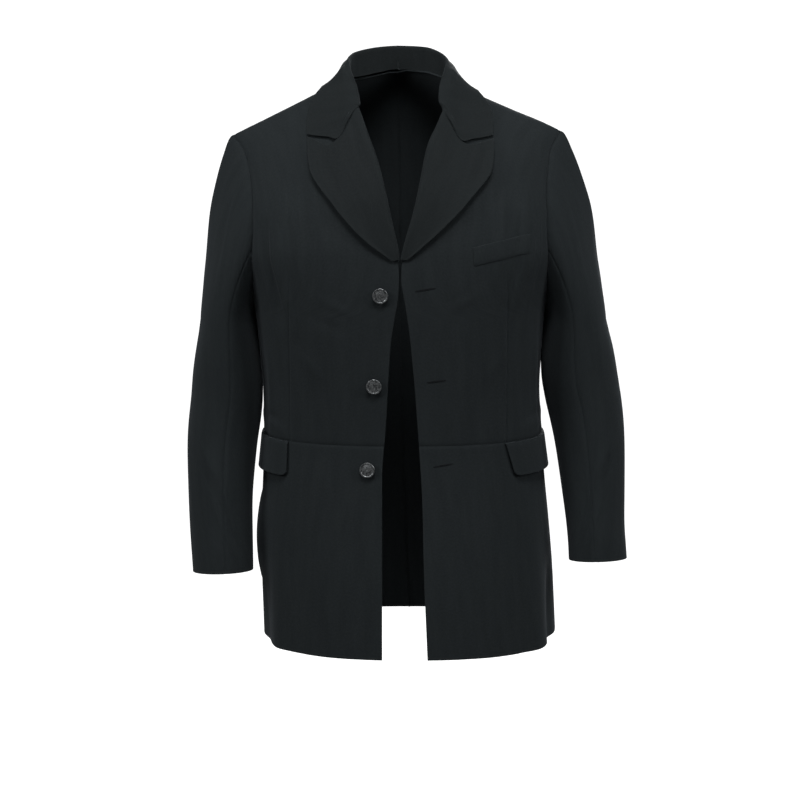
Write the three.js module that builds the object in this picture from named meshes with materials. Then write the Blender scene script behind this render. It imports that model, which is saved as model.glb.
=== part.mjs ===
// A long three-button wool coat, worn open on an unseen form: every cut piece of cloth is a thin wall.
// Millimetres, +Z up. The coat faces -Y and the wearer's left is +X.
// The origin lies between the shoulders at the root of the neck, where the coat is held up.
import * as THREE from 'three';

// Cloth and seams
const CLOTH = 2.0;
const SEAM = 0.3;
const LAPEL_CLOTH = 1.7;
const LAID_ON = 2.8;

// Heights, as drops below the top of the shoulders
const CHEST = 200;
const ARMPIT = 283;
const WAIST = 456;
const HEM = 735;
const SIDE_SEAM = 100;
const BREAK = 206;
const DART_TOP = 226;

// The shoulder line seen from the front
const SHOULDER = [
  { across: -240, up: -55 },
  { across: -227, up: -48 },
  { across: -180, up: -25 },
  { across: -101, up: 15 },
  { across: -80, up: 27 },
  { across: -50, up: 46 },
  { across: 0, up: 78 },
  { across: 50, up: 49 },
  { across: 80, up: 32 },
  { across: 101, up: 19 },
  { across: 160, up: -8 },
  { across: 219, up: -42 },
  { across: 235, up: -51 },
];

// The body of the coat, a row for each ring from the shoulder seam to the hem
const BODY = [
  { drop: 0, half: 223, front: 0, back: 0, centre: -4, square: 2.5 },
  { drop: 4, half: 223, front: 8, back: 22, centre: -4, square: 2.5 },
  { drop: 10, half: 223, front: 17, back: 42, centre: -4, square: 2.5 },
  { drop: 20, half: 223, front: 30, back: 62, centre: -3, square: 2.5 },
  { drop: 40, half: 222, front: 50, back: 88, centre: -3, square: 2.5 },
  { drop: 60, half: 222, front: 68, back: 103, centre: -2, square: 2.5 },
  { drop: 100, half: 221, front: 98, back: 118, centre: -1, square: 2.5 },
  { drop: 150, half: 221, front: 126, back: 125, centre: 0, square: 2.5 },
  { drop: 200, half: 220, front: 137, back: 126, centre: 0, square: 2.5 },
  { drop: 245, half: 208, front: 139, back: 122, centre: 0, square: 2.5 },
  { drop: 283, half: 199, front: 138, back: 117, centre: 0, square: 2.5 },
  { drop: 340, half: 194, front: 135, back: 109, centre: 1, square: 2.45 },
  { drop: 400, half: 190.5, front: 132, back: 102, centre: 2, square: 2.4 },
  { drop: 456, half: 192, front: 130, back: 99, centre: 4, square: 2.4 },
  { drop: 510, half: 194.5, front: 134, back: 105, centre: 5, square: 2.4 },
  { drop: 580, half: 199.5, front: 141, back: 115, centre: 7, square: 2.4 },
  { drop: 650, half: 203, front: 147, back: 123, centre: 10, square: 2.4 },
  { drop: 735, half: 205, front: 152, back: 129, centre: 14, square: 2.4 },
];

// Front edges, neck seam and roll of the foreparts, seen from the front
const EDGE_RIGHT = [
  { across: -80, up: 27 },
  { across: -77, up: 20 },
  { across: -70, up: 8 },
  { across: -58, up: -12 },
  { across: -44, up: -48 },
  { across: -32, up: -80 },
  { across: -14, up: -155 },
  { across: -2.5, up: -206 },
  { across: -1.4, up: -233 },
  { across: -12.5, up: -320 },
  { across: -19.2, up: -432 },
  { across: -24, up: -500 },
  { across: -24, up: -735 },
];
const EDGE_LEFT = [
  { across: 80, up: 32 },
  { across: 77, up: 24 },
  { across: 70, up: 10 },
  { across: 60, up: -12 },
  { across: 52, up: -32 },
  { across: 39, up: -61 },
  { across: 29, up: -108 },
  { across: 21, up: -144 },
  { across: 9, up: -183 },
  { across: 2.8, up: -206 },
  { across: 1.6, up: -233 },
  { across: 5.3, up: -255 },
  { across: 12, up: -299 },
  { across: 18.6, up: -365 },
  { across: 25.3, up: -455 },
  { across: 30, up: -535 },
  { across: 32, up: -622 },
  { across: 37, up: -735 },
];

// Back neck seam, right half
const BACK_NECK = [
  { drop: 0, across: 80 },
  { drop: 3, across: 75 },
  { drop: 8, across: 62.5 },
  { drop: 16, across: 42 },
  { drop: 25, across: 21 },
  { drop: 30, across: 0 },
];

// Armhole: degrees round the ring from the front, on the forepart and on the back
const ARMHOLE = [
  { drop: 0, front: 90, back: 90 },
  { drop: 8, front: 81, back: 99 },
  { drop: 18, front: 74, back: 106 },
  { drop: 30, front: 69, back: 111 },
  { drop: 45, front: 65.5, back: 114.5 },
  { drop: 65, front: 63, back: 117 },
  { drop: 95, front: 61, back: 119 },
  { drop: 130, front: 60, back: 120 },
  { drop: 165, front: 60, back: 120 },
  { drop: 200, front: 61.5, back: 118.5 },
  { drop: 228, front: 66, back: 115.5 },
  { drop: 250, front: 72, back: 112 },
  { drop: 267, front: 80, back: 107.5 },
  { drop: 278, front: 90, back: 103 },
  { drop: 283, front: 100, back: 100 },
];
const ARM_DROPS = ARMHOLE.map((row) => row.drop);
const UPPER_DROPS = [...ARM_DROPS, 310, 345, 385, 425, WAIST];
const SKIRT_DROPS = [WAIST, 485, 520, 560, 600, 645, 690, HEM];

// Soft folds: degrees round from the front, where along the drop, height and half-width
const FOLDS = [
  { turn: -42, from: 95, to: 320, high: 3.2, wide: 5 },
  { turn: -50, from: 150, to: 300, high: -2.6, wide: 4 },
  { turn: 45, from: 90, to: 290, high: 3.4, wide: 5 },
  { turn: -86, from: 540, to: 665, high: 6.5, wide: 26 },
  { turn: -58, from: 500, to: 900, high: 3, wide: 9 },
  { turn: 56, from: 500, to: 900, high: 3, wide: 10 },
  { turn: -76, from: 640, to: 850, high: -6, wide: 13 },
  { turn: 77, from: 610, to: 860, high: -11, wide: 14 },
  { turn: 122, from: 470, to: 900, high: 6, wide: 12 },
  { turn: -124, from: 470, to: 900, high: 6, wide: 12 },
  { turn: 146, from: 480, to: 900, high: -5, wide: 12 },
  { turn: -148, from: 480, to: 900, high: -5, wide: 12 },
  { turn: 128, from: 110, to: 330, high: 3, wide: 7 },
  { turn: -130, from: 110, to: 330, high: 3, wide: 7 },
];

const radians = (degrees) => (degrees * Math.PI) / 180;
const mix = (a, b, share) => a + (b - a) * share;
const point = (x, y, z) => new THREE.Vector3(x, y, z);

// Reads one column of a table at a place between its rows, with a smooth run and no overshoot.
function read(table, by, column, at) {
  const last = table.length - 1;
  const way = table[last][by] > table[0][by] ? 1 : -1;
  let i = 0;
  while (i < last - 1 && (at - table[i + 1][by]) * way > 0) i += 1;
  const step = (k) => table[k + 1][by] - table[k][by];
  const slope = (k) => (table[k + 1][column] - table[k][column]) / step(k);
  const bend = (k) => {
    if (k === 0) return slope(0);
    if (k === last) return slope(last - 1);
    const before = slope(k - 1);
    const after = slope(k);
    if (before * after <= 0) return 0;
    return (2 * before * after) / (before + after);
  };
  const h = step(i);
  const t = THREE.MathUtils.clamp((at - table[i][by]) / h, 0, 1);
  const a = table[i][column];
  const b = table[i + 1][column];
  return a * (1 + 2 * t) * (1 - t) ** 2 + b * t * t * (3 - 2 * t)
    + h * (bend(i) * t * (1 - t) ** 2 - bend(i + 1) * t * t * (1 - t));
}

const shoulderUp = (across) => read(SHOULDER, 'across', 'up', across);
const bodySize = (drop, column) => read(BODY, 'drop', column, drop);
const upOf = (drop, across) => (drop < CHEST
  ? mix(shoulderUp(across), -CHEST, drop / CHEST) : -drop);
const dropOf = (across, up) => (up > -CHEST
  ? (CHEST * (shoulderUp(across) - up)) / (shoulderUp(across) + CHEST) : -up);

function foldHeight(drop, turn) {
  let high = 0;
  for (const fold of FOLDS) {
    const off = (turn - fold.turn) / fold.wide;
    const along = (drop - fold.from) / (fold.to - fold.from);
    if (Math.abs(off) < 1.8 && along > 0 && along < 1) {
      const round = Math.exp(-2 * off * off) * (1 - 0.309 * off * off);
      high += fold.high * round * Math.sin(Math.PI * along) ** 0.8;
    }
  }
  return high;
}

// A point of the cloth's middle surface; turn is in degrees from the front, plus to the wearer's left.
function skin(drop, turn) {
  const side = Math.sin(radians(turn));
  const ahead = Math.cos(radians(turn));
  const power = 2 / bodySize(drop, 'square');
  const depth = ahead > 0 ? -bodySize(drop, 'front') : bodySize(drop, 'back');
  const lean = drop < CHEST ? 8 * (1 - drop / CHEST) : 0;
  const out = foldHeight(drop, turn);
  const wide = Math.sign(side) * Math.abs(side) ** power * (bodySize(drop, 'half') + out);
  const x = bodySize(drop, 'centre') + wide;
  const y = lean + Math.abs(ahead) ** power * (depth + Math.sign(depth) * out);
  return point(x, y, upOf(drop, x));
}

function turnAt(drop, across) {
  const off = (across - bodySize(drop, 'centre')) / bodySize(drop, 'half');
  const share = Math.min(Math.abs(off), 1) ** (bodySize(drop, 'square') / 2);
  return (Math.sign(off) * Math.asin(share) * 180) / Math.PI;
}

function skinFacing(drop, turn) {
  const facing = (d, t) => {
    const along = skin(d + 1.5, t).sub(skin(Math.max(d - 1.5, 0), t));
    const round = skin(d, t + 0.6).sub(skin(d, t - 0.6));
    return along.cross(round).normalize();
  };
  if (drop > 0.5) return facing(drop, turn);
  const other = Math.sign(turn || 1) * 180 - turn;
  return facing(1, turn).add(facing(1, other)).normalize();
}

const raised = (drop, turn, lift) => skin(drop, turn).addScaledVector(skinFacing(drop, turn), lift);
const onFront = (across, up, lift) => {
  const drop = Math.max(dropOf(across, up), 0);
  return raised(drop, turnAt(drop, across), lift);
};

const edgeTable = (rows) => rows.map((row) => ({
  drop: Math.max(dropOf(row.across, row.up), 0), across: row.across,
}));
const FRONT_EDGE = { right: edgeTable(EDGE_RIGHT), left: edgeTable(EDGE_LEFT) };
const SIDES = [
  { name: 'right', sign: -1, dart: -148 },
  { name: 'left', sign: 1, dart: 143 },
];

const coat = new THREE.Group();
coat.name = 'blazer';

const woolBlack = (name, color) => {
  const cloth = new THREE.MeshStandardMaterial({ color, roughness: 0.88, metalness: 0 });
  cloth.name = name;
  return cloth;
};

function addMesh(name, positions, indices, material) {
  const shape = new THREE.BufferGeometry();
  shape.setAttribute('position', new THREE.Float32BufferAttribute(positions, 3));
  shape.setIndex(indices);
  shape.computeVertexNormals();
  const mesh = new THREE.Mesh(shape, material);
  mesh.name = name;
  coat.add(mesh);
  return mesh;
}

// Which way a grid of points faces at each point.
function gridFacing(grid) {
  const rows = grid.length;
  const columns = grid[0].length;
  return grid.map((line, i) => line.map((p, j) => {
    const along = grid[Math.min(i + 1, rows - 1)][j].clone().sub(grid[Math.max(i - 1, 0)][j]);
    const across = line[Math.min(j + 1, columns - 1)].clone().sub(line[Math.max(j - 1, 0)]);
    return along.cross(across).normalize();
  }));
}

// Draws the edge of a grid back, so that two pieces stand half a seam each from their line.
function drawBack(grid, edges, by = SEAM / 2) {
  const rows = grid.length - 1;
  const columns = grid[0].length - 1;
  const shift = (p, next) => p.add(next.clone().sub(p).setLength(by));
  if (edges.includes('top')) grid[0].forEach((p, j) => shift(p, grid[1][j]));
  if (edges.includes('bottom')) grid[rows].forEach((p, j) => shift(p, grid[rows - 1][j]));
  if (edges.includes('first')) grid.forEach((line) => shift(line[0], line[1]));
  if (edges.includes('last')) grid.forEach((line) => shift(line[columns], line[columns - 1]));
}

// A wall of cloth on both sides of a grid of points, closed round its rim.
function clothPiece(name, grid, material, { facing = gridFacing(grid), thick = CLOTH, press } = {}) {
  const rows = grid.length;
  const columns = grid[0].length;
  const positions = [];
  for (const side of [0.5, -0.5]) {
    for (let i = 0; i < rows; i += 1) {
      for (let j = 0; j < columns; j += 1) {
        const sink = press && side > 0 ? press(i, j) : 0;
        const p = grid[i][j].clone().addScaledVector(facing[i][j], side * thick - sink);
        positions.push(p.x, p.y, p.z);
      }
    }
  }
  const outer = (i, j) => i * columns + j;
  const inner = (i, j) => rows * columns + i * columns + j;
  const faces = [];
  const quad = (a, b, c, d) => faces.push(a, b, c, a, c, d);
  for (let i = 0; i < rows - 1; i += 1) {
    for (let j = 0; j < columns - 1; j += 1) {
      quad(outer(i, j), outer(i + 1, j), outer(i + 1, j + 1), outer(i, j + 1));
      quad(inner(i, j), inner(i, j + 1), inner(i + 1, j + 1), inner(i + 1, j));
    }
  }
  for (let i = 0; i < rows - 1; i += 1) {
    quad(outer(i, 0), inner(i, 0), inner(i + 1, 0), outer(i + 1, 0));
    const last = columns - 1;
    quad(outer(i, last), outer(i + 1, last), inner(i + 1, last), inner(i, last));
  }
  for (let j = 0; j < columns - 1; j += 1) {
    const last = rows - 1;
    quad(outer(0, j), outer(0, j + 1), inner(0, j + 1), inner(0, j));
    quad(outer(last, j), inner(last, j), inner(last, j + 1), outer(last, j + 1));
  }
  return addMesh(name, positions, faces, material);
}

// Grids are laid out so that rows run down and columns run towards +X as seen from outside.
const turnRound = (grid) => grid.map((line) => [...line].reverse());

// Foreparts and skirts
const FRONT_SHARES = [0, 0.09, 0.2, 0.32, 0.45, 0.58, 0.72, 0.86, 1];
const SIDE_SHARES = [0.13, 0.3, 0.46, 0.6, 0.73, 0.86, 1];
const DART_HALF = 4;
const DART_DEEP = 0.8;

function frontTurns(side, drop) {
  const edge = turnAt(drop, read(FRONT_EDGE[side.name], 'drop', 'across', drop));
  const dart = turnAt(drop, side.dart);
  const beside = Math.abs(turnAt(drop, side.dart + side.sign * DART_HALF) - dart);
  const end = side.sign * (drop < ARMPIT ? read(ARMHOLE, 'drop', 'front', drop) : SIDE_SEAM);
  const inFront = dart - side.sign * beside;
  const behind = dart + side.sign * beside;
  const turns = FRONT_SHARES.map((share) => mix(edge, inFront, share));
  return [...turns, dart, behind, ...SIDE_SHARES.map((share) => mix(behind, end, share))];
}

function bodyPanel(side, drops, turnsAt) {
  const turns = drops.map((drop) => turnsAt(drop));
  const grid = drops.map((drop, i) => turns[i].map((turn) => skin(drop, turn)));
  const facing = drops.map((drop, i) => turns[i].map((turn) => skinFacing(drop, turn)));
  return { grid, facing };
}

const outwardOrder = (side, panel, backwards) => {
  if ((side.sign > 0) === !backwards) return panel;
  return { grid: turnRound(panel.grid), facing: turnRound(panel.facing) };
};

const dartColumn = FRONT_SHARES.length;
for (const side of SIDES) {
  const forepart = bodyPanel(side, UPPER_DROPS, (drop) => frontTurns(side, drop));
  drawBack(forepart.grid, ['top', 'bottom']);
  drawBack(forepart.grid.slice(ARM_DROPS.length - 1), ['last']);
  const columns = forepart.grid[0].length;
  const dartAt = side.sign > 0 ? dartColumn : columns - 1 - dartColumn;
  const laid = outwardOrder(side, forepart);
  clothPiece(`forepart_${side.name}`, laid.grid, woolBlack('wool', 0x23282a), {
    facing: laid.facing,
    press: (i, j) => (j === dartAt && UPPER_DROPS[i] > DART_TOP ? DART_DEEP : 0),
  });

  const skirt = bodyPanel(side, SKIRT_DROPS, (drop) => frontTurns(side, drop));
  drawBack(skirt.grid, ['top', 'last']);
  const hung = outwardOrder(side, skirt);
  clothPiece(`skirt_${side.name}`, hung.grid, woolBlack('wool', 0x23282a), { facing: hung.facing });
}

// Backs
const BACK_SHARES = [0, 0.07, 0.16, 0.26, 0.36, 0.46, 0.56, 0.67, 0.78, 0.89, 1];
const NECK_DROPS = [3.5, 13, 24];
const BACK_DROPS = [...UPPER_DROPS, ...SKIRT_DROPS.slice(1), ...NECK_DROPS].sort((a, b) => a - b);
const AT_NAPE = BACK_DROPS.indexOf(30);
const AT_ARMPIT = BACK_DROPS.indexOf(ARMPIT);
function backTurns(side, drop) {
  const neck = drop < 30 ? read(BACK_NECK, 'drop', 'across', drop) : 0;
  const off = turnAt(drop, bodySize(drop, 'centre') + neck);
  const centre = 180 - off;
  const end = drop < ARMPIT ? read(ARMHOLE, 'drop', 'back', drop) : SIDE_SEAM;
  return BACK_SHARES.map((share) => side.sign * mix(centre, end, share));
}
for (const side of SIDES) {
  const back = bodyPanel(side, BACK_DROPS, (drop) => backTurns(side, drop));
  drawBack(back.grid, ['top']);
  drawBack(back.grid.slice(AT_NAPE), ['first']);
  drawBack(back.grid.slice(AT_ARMPIT), ['last']);
  const laid = outwardOrder(side, back, true);
  clothPiece(`back_${side.name}`, laid.grid, woolBlack('wool', 0x23282a), { facing: laid.facing });
}

// Sleeves: the run of the arm's ring, a row for each section from the armpit to the cuff
const SLEEVE = {
  right: [
    { up: -300, across: -238.6, ahead: 2, wide: 38.4, deep: 79 },
    { up: -345, across: -239, ahead: -2, wide: 43.5, deep: 73 },
    { up: -402, across: -239.3, ahead: -6, wide: 48.2, deep: 67 },
    { up: -470, across: -246.3, ahead: -15, wide: 47.3, deep: 61 },
    { up: -545, across: -248.3, ahead: -31, wide: 43.2, deep: 55 },
    { up: -600, across: -246.5, ahead: -42, wide: 42, deep: 51 },
    { up: -645, across: -244, ahead: -53, wide: 40.5, deep: 48 },
  ],
  left: [
    { up: -300, across: 244.3, ahead: 2, wide: 43.7, deep: 79 },
    { up: -340, across: 247, ahead: -2, wide: 49, deep: 73 },
    { up: -375, across: 247.8, ahead: -4, wide: 51.4, deep: 69 },
    { up: -400, across: 252, ahead: -6, wide: 50.6, deep: 66.5 },
    { up: -458, across: 262, ahead: -14, wide: 47.7, deep: 61 },
    { up: -545, across: 268.4, ahead: -30, wide: 41.5, deep: 55 },
    { up: -597, across: 271.3, ahead: -43, wide: 38.2, deep: 51 },
    { up: -629, across: 273.7, ahead: -52, wide: 39.2, deep: 48 },
  ],
};
const CAP_SHARES = [0, 0.07, 0.17, 0.3, 0.47, 0.7, 1];
const LOWER_ROWS = [0.13, 0.27, 0.42, 0.57, 0.71, 0.86, 1];
const FOREARM_SEAM = 9;
const HINDARM_SEAM = 8;
const CAP_OUT = 64;
const CAP_PULL = 0.5;
const CAP_FALL = 0.9;

function armholeRing(side) {
  const front = ARMHOLE.map((row) => ({ drop: row.drop, turn: side.sign * row.front }));
  const back = ARMHOLE.slice(1, -1).map((row) => ({ drop: row.drop, turn: side.sign * row.back }));
  const ring = [...front, ...back.reverse()];
  const spots = ring.map((at) => skin(at.drop, at.turn));
  const count = ring.length;
  const bottom = front.length - 1;
  const run = [0];
  for (let k = 1; k <= count; k += 1) {
    run.push(run[k - 1] + spots[k % count].distanceTo(spots[k - 1]));
  }
  return ring.map((at, k) => {
    const share = k <= bottom
      ? run[k] / run[bottom] : 1 + (run[k] - run[bottom]) / (run[count] - run[bottom]);
    const along = spots[(k + 1) % count].clone().sub(spots[(k + count - 1) % count]).normalize();
    const facing = skinFacing(at.drop, at.turn);
    const away = along.clone().cross(facing).multiplyScalar(-side.sign).normalize();
    return { spot: spots[k], facing, away, angle: Math.PI * share };
  });
}

function sleeveSection(side, up, angle) {
  const rows = SLEEVE[side.name];
  const size = (column) => read(rows, 'up', column, up);
  const lean = (column) => (read(rows, 'up', column, up + 8) - read(rows, 'up', column, up - 8)) / 16;
  const outward = side.sign * size('wide') * Math.cos(angle);
  const ahead = -size('deep') * Math.sin(angle);
  const tilt = THREE.MathUtils.clamp((rows[0].up - up) / 120, 0, 1);
  return point(size('across') + outward, size('ahead') + ahead,
    up - tilt * (outward * lean('across') + ahead * lean('ahead')));
}

function sleeveColumn(side, at) {
  const { spot, facing, away, angle } = at;
  const round = Math.cos(angle);
  const start = point(
    side.sign * (0.55 + 0.42 * round),
    -0.35 * Math.sin(angle),
    -0.62 + 0.42 * round,
  ).normalize();
  const fold = Math.acos(THREE.MathUtils.clamp(start.dot(away), -1, 1));
  const clear = SEAM + (CLOTH / 2) * Math.sin(fold);
  const beside = ((1 - Math.cos(fold)) / 2) * (CLOTH + SEAM);
  const from = spot.clone().addScaledVector(away, clear).addScaledVector(facing, beside);
  const rows = SLEEVE[side.name];
  const to = sleeveSection(side, rows[0].up, angle);
  const span = to.distanceTo(from);
  const out = start.multiplyScalar(Math.min(CAP_OUT, CAP_PULL * span));
  const down = point(0, 0, -CAP_FALL * span);
  const cap = CAP_SHARES.map((t) => from.clone().multiplyScalar((1 + 2 * t) * (1 - t) ** 2)
    .addScaledVector(to, t * t * (3 - 2 * t))
    .addScaledVector(out, t * (1 - t) ** 2)
    .addScaledVector(down, t * t * (t - 1)));
  const cuffUp = rows[rows.length - 1].up;
  const lower = LOWER_ROWS.map((t) => sleeveSection(side, mix(rows[0].up, cuffUp, t), angle));
  return [...cap, ...lower];
}

for (const side of SIDES) {
  const ring = armholeRing(side);
  const count = ring.length;
  const columns = ring.map((at) => sleeveColumn(side, at));
  const sew = (name, from, to) => {
    const wider = columns[0].map((_, i) => {
      const line = [];
      for (let k = from - 1; k <= to + 1; k += 1) line.push(columns[(k + count) % count][i].clone());
      return side.sign < 0 ? line : line.reverse();
    });
    const facing = gridFacing(wider).map((line) => line.slice(1, -1));
    const grid = wider.map((line) => line.slice(1, -1));
    drawBack(grid, ['first', 'last']);
    clothPiece(`${name}_${side.name}`, grid, woolBlack('wool', 0x23282a), { facing });
  };
  sew('top_sleeve', -HINDARM_SEAM, FOREARM_SEAM);
  sew('under_sleeve', FOREARM_SEAM, count - HINDARM_SEAM);
}

// Lapels: outer edge seen from the front, from the break up to the point below the notch
const LAPEL = {
  right: [
    { share: 0, across: -10, up: -207 },
    { share: 0.2, across: -50, up: -177 },
    { share: 0.45, across: -84, up: -140 },
    { share: 0.72, across: -118, up: -92 },
    { share: 1, across: -124, up: -48 },
  ],
  left: [
    { share: 0, across: 10, up: -205 },
    { share: 0.2, across: 53, up: -168 },
    { share: 0.45, across: 88, up: -133 },
    { share: 0.72, across: 121, up: -90 },
    { share: 1, across: 125, up: -46 },
  ],
};
const GORGE = { right: { across: -58, up: -12 }, left: { across: 60, up: -12 } };
const LAPEL_ROWS = [0, 0.07, 0.16, 0.27, 0.39, 0.51, 0.63, 0.74, 0.84, 0.93, 1];
// Across the lapel and the collar's fall, with the dip of the collar's end and of each lapel's top
const ACROSS = [
  { share: 0.12, collarDip: 0.36, right: 0.36, left: 0.36 },
  { share: 0.33, collarDip: 1, right: 1, left: 1 },
  { share: 0.58, collarDip: 0.62, right: 1.06, left: 0.83 },
  { share: 0.8, collarDip: 0.3, right: 0.5, left: 0.42 },
  { share: 1, collarDip: 0, right: 0, left: 0 },
];
const GORGE_DIP = { right: 25.5, left: 28.5 };
const GORGE_GAP = 1.4;
// The rolled edge: past the edge of the cloth under it, and out from that cloth
const ROLL = [
  { past: 0.7, out: 0 },
  { past: 1.9, out: 0.35 },
  { past: 3.0, out: 1.4 },
  { past: 3.1, out: 2.9 },
  { past: 2.1, out: 4.1 },
  { past: 0.2, out: 4.6 },
];

for (const side of SIDES) {
  const gorge = GORGE[side.name];
  const top = dropOf(gorge.across, gorge.up) + GORGE_GAP;
  const grid = LAPEL_ROWS.map((share) => {
    const drop = mix(BREAK - 1, top, share);
    const across = read(FRONT_EDGE[side.name], 'drop', 'across', drop);
    const turn = turnAt(drop, across);
    const edge = skin(drop, turn);
    const facing = skinFacing(drop, turn);
    const toCentre = skin(drop, turn - side.sign * 2).sub(edge).normalize();
    const full = THREE.MathUtils.smoothstep(share, -0.15, 0.3);
    const slimmer = mix(0.6, 1, full);
    const roll = ROLL.map((at) => edge.clone()
      .addScaledVector(toCentre, mix(0.9, at.past, at.past > 1 ? full : 0))
      .addScaledVector(facing, at.out * slimmer));
    roll[0] = edge.clone().addScaledVector(toCentre, ROLL[0].past);
    const outer = {
      across: read(LAPEL[side.name], 'share', 'across', share),
      up: read(LAPEL[side.name], 'share', 'up', share),
    };
    const laid = ACROSS.map((at) => {
      const dip = GORGE_DIP[side.name] * at[side.name] * share ** 3 + (share === 1 ? GORGE_GAP : 0);
      const lift = mix(4.6 * slimmer, LAID_ON, at.share ** 1.4);
      return onFront(
        mix(across, outer.across, at.share),
        mix(edge.z, outer.up, at.share) - dip,
        lift + 1.6 * Math.sin(Math.PI * at.share) * share,
      );
    });
    return [...roll, ...laid];
  }).reverse();
  clothPiece(`lapel_${side.name}`, side.sign > 0 ? grid : turnRound(grid), woolBlack('wool', 0x262b2d),
    { thick: LAPEL_CLOTH });
}

// Collar, a row for each station from the gorge (0) over the shoulder (3) to the middle of the back (8)
const COLLAR = [
  { station: 0, seam: 58, seamDrop: 44, fold: 55, ahead: -48, up: -11, edge: 124, edgeDrop: 49.5, dip: 1 },
  { station: 1, seam: 65, seamDrop: 30, fold: 50, ahead: -38, up: -2, edge: 124.5, edgeDrop: 29, dip: 0.7 },
  { station: 2, seam: 73, seamDrop: 14, fold: 56, ahead: -17, up: 16, edge: 121, edgeDrop: 12, dip: 0.35 },
  { station: 3, seam: 77.8, seamDrop: 0, fold: 63.5, ahead: 6, up: 40, edge: 104, edgeDrop: 0, dip: 0 },
  { station: 4, seam: 70.5, seamDrop: 3.2, fold: 65.5, ahead: 24, up: 53, edge: 98, edgeDrop: 6, dip: 0 },
  { station: 5, seam: 61, seamDrop: 8, fold: 61, ahead: 42, up: 60, edge: 81, edgeDrop: 18, dip: 0 },
  { station: 6, seam: 41, seamDrop: 16, fold: 46, ahead: 61, up: 64.5, edge: 55, edgeDrop: 33, dip: 0 },
  { station: 7, seam: 20, seamDrop: 24.5, fold: 23, ahead: 74, up: 67.3, edge: 26, edgeDrop: 41, dip: 0 },
  { station: 8, seam: 0, seamDrop: 29, fold: 0, ahead: 79, up: 68.2, edge: 0, edgeDrop: 44, dip: 0 },
];
const COLLAR_STEPS = [0, 0.5, 1, 1.5, 2, 2.5, 3, 3.5, 4, 4.5, 5, 5.5, 6, 6.6, 7.3, 8];
const COLLAR_LAID = 3.2;
const SHOULDER_STATION = 3;
const LEFT_HIGHER = 5;
const COLLAR_SHIFT = -3;
const STAND_FOOT = 2.8;
const FALL_BEND = 1.1;

function collarStation(station, sign) {
  const names = Object.keys(COLLAR[0]);
  const row = Object.fromEntries(names.map((name) => [name, read(COLLAR, 'station', name, station)]));
  const inFront = station <= SHOULDER_STATION;
  const place = (across, drop) => {
    const turn = turnAt(drop, station === 8 ? bodySize(drop, 'centre') : sign * across);
    return { drop, turn: inFront ? turn : sign * 180 - turn };
  };
  const seam = place(row.seam, row.seamDrop);
  const edgeAt = place(row.edge, row.edgeDrop);
  const foot = skin(seam.drop, seam.turn);
  const inwards = skin(seam.drop, seam.turn - sign * 2).sub(foot).normalize();
  const higher = (LEFT_HIGHER * (1 + sign * (1 - THREE.MathUtils.smoothstep(station, 3.5, 8)))) / 2;
  const free = point(sign * row.fold + COLLAR_SHIFT, row.ahead, row.up + higher);
  const fold = foot.clone().addScaledVector(inwards, 3.1).lerp(free, Math.min(station / 1.5, 1));
  const rise = fold.clone().sub(foot);
  const tall = rise.length();
  rise.normalize();
  const facing = skinFacing(seam.drop, seam.turn);
  const reach = raised(edgeAt.drop, edgeAt.turn, COLLAR_LAID).sub(foot).normalize();
  const outward = facing.clone().addScaledVector(reach, 0.7);
  outward.addScaledVector(rise, -outward.dot(rise)).normalize();
  const at = (past, out) => foot.clone().addScaledVector(rise, past).addScaledVector(outward, out);
  const low = Math.min(STAND_FOOT, 0.3 + (tall - 3.1) * 0.2);
  const neck = tall - 1.2;
  const stand = [at(low, 0), at(mix(low, neck, 0.4), 0), at(mix(low, neck, 0.75), 0.1)];
  const roll = [
    at(neck, 0.35), at(tall - 0.1, 1.4), at(tall, 2.9), at(tall - 1, 4.1), at(tall - 2.9, 4.6),
  ];
  const lifted = roll[4].clone().sub(foot);
  const fall = ACROSS.map((step) => {
    const across = mix(row.seam, row.edge, step.share);
    const drop = mix(row.seamDrop, row.edgeDrop, step.share);
    const spot = place(across, drop);
    const lower = GORGE_DIP[sign < 0 ? 'right' : 'left'] * step.collarDip * row.dip;
    const on = lower > 0
      ? onFront(sign * across, upOf(drop, sign * across) - lower, COLLAR_LAID)
      : raised(spot.drop, spot.turn, COLLAR_LAID);
    return on.addScaledVector(lifted, (1 - step.share) ** mix(1.4, FALL_BEND, Math.min(station / 2, 1)));
  });
  return [...stand, ...roll, ...fall];
}

const rightHalf = COLLAR_STEPS.map((station) => collarStation(station, -1));
const leftHalf = COLLAR_STEPS.slice(0, -1).map((station) => collarStation(station, 1)).reverse();
const collarColumns = [...rightHalf, ...leftHalf];
const collarGrid = collarColumns[0].map((p, i) => collarColumns.map((line) => line[i]));
clothPiece('collar', collarGrid, woolBlack('wool', 0x24292b), { thick: LAPEL_CLOTH });

// Pocket flaps, sewn under the waist seam and wrapped round the hip
const FLAP = {
  right: { first: -150, firstLow: -151, last: -118, high: 47 },
  left: { first: 141, firstLow: 152, last: 118, high: 46 },
};
const FLAP_SHARES = [0, 0.14, 0.28, 0.42, 0.56, 0.7, 0.85, 1];
const FLAP_ROWS = [0, 0.35, 0.7, 1];
const FLAP_STANDS_OFF = 3.5;
for (const side of SIDES) {
  const flap = FLAP[side.name];
  const grid = FLAP_ROWS.map((share) => {
    const drop = WAIST + 1.2 + share * flap.high;
    const first = turnAt(drop, mix(flap.first, flap.firstLow, share));
    return FLAP_SHARES.map((along) => raised(drop, mix(first, flap.last, along),
      CLOTH + SEAM + 1.1 + FLAP_STANDS_OFF * share * (0.35 + 0.65 * Math.sin(Math.PI * along))));
  });
  clothPiece(`flap_${side.name}`, side.sign > 0 ? grid : turnRound(grid), woolBlack('wool', 0x25292b));
}

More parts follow.
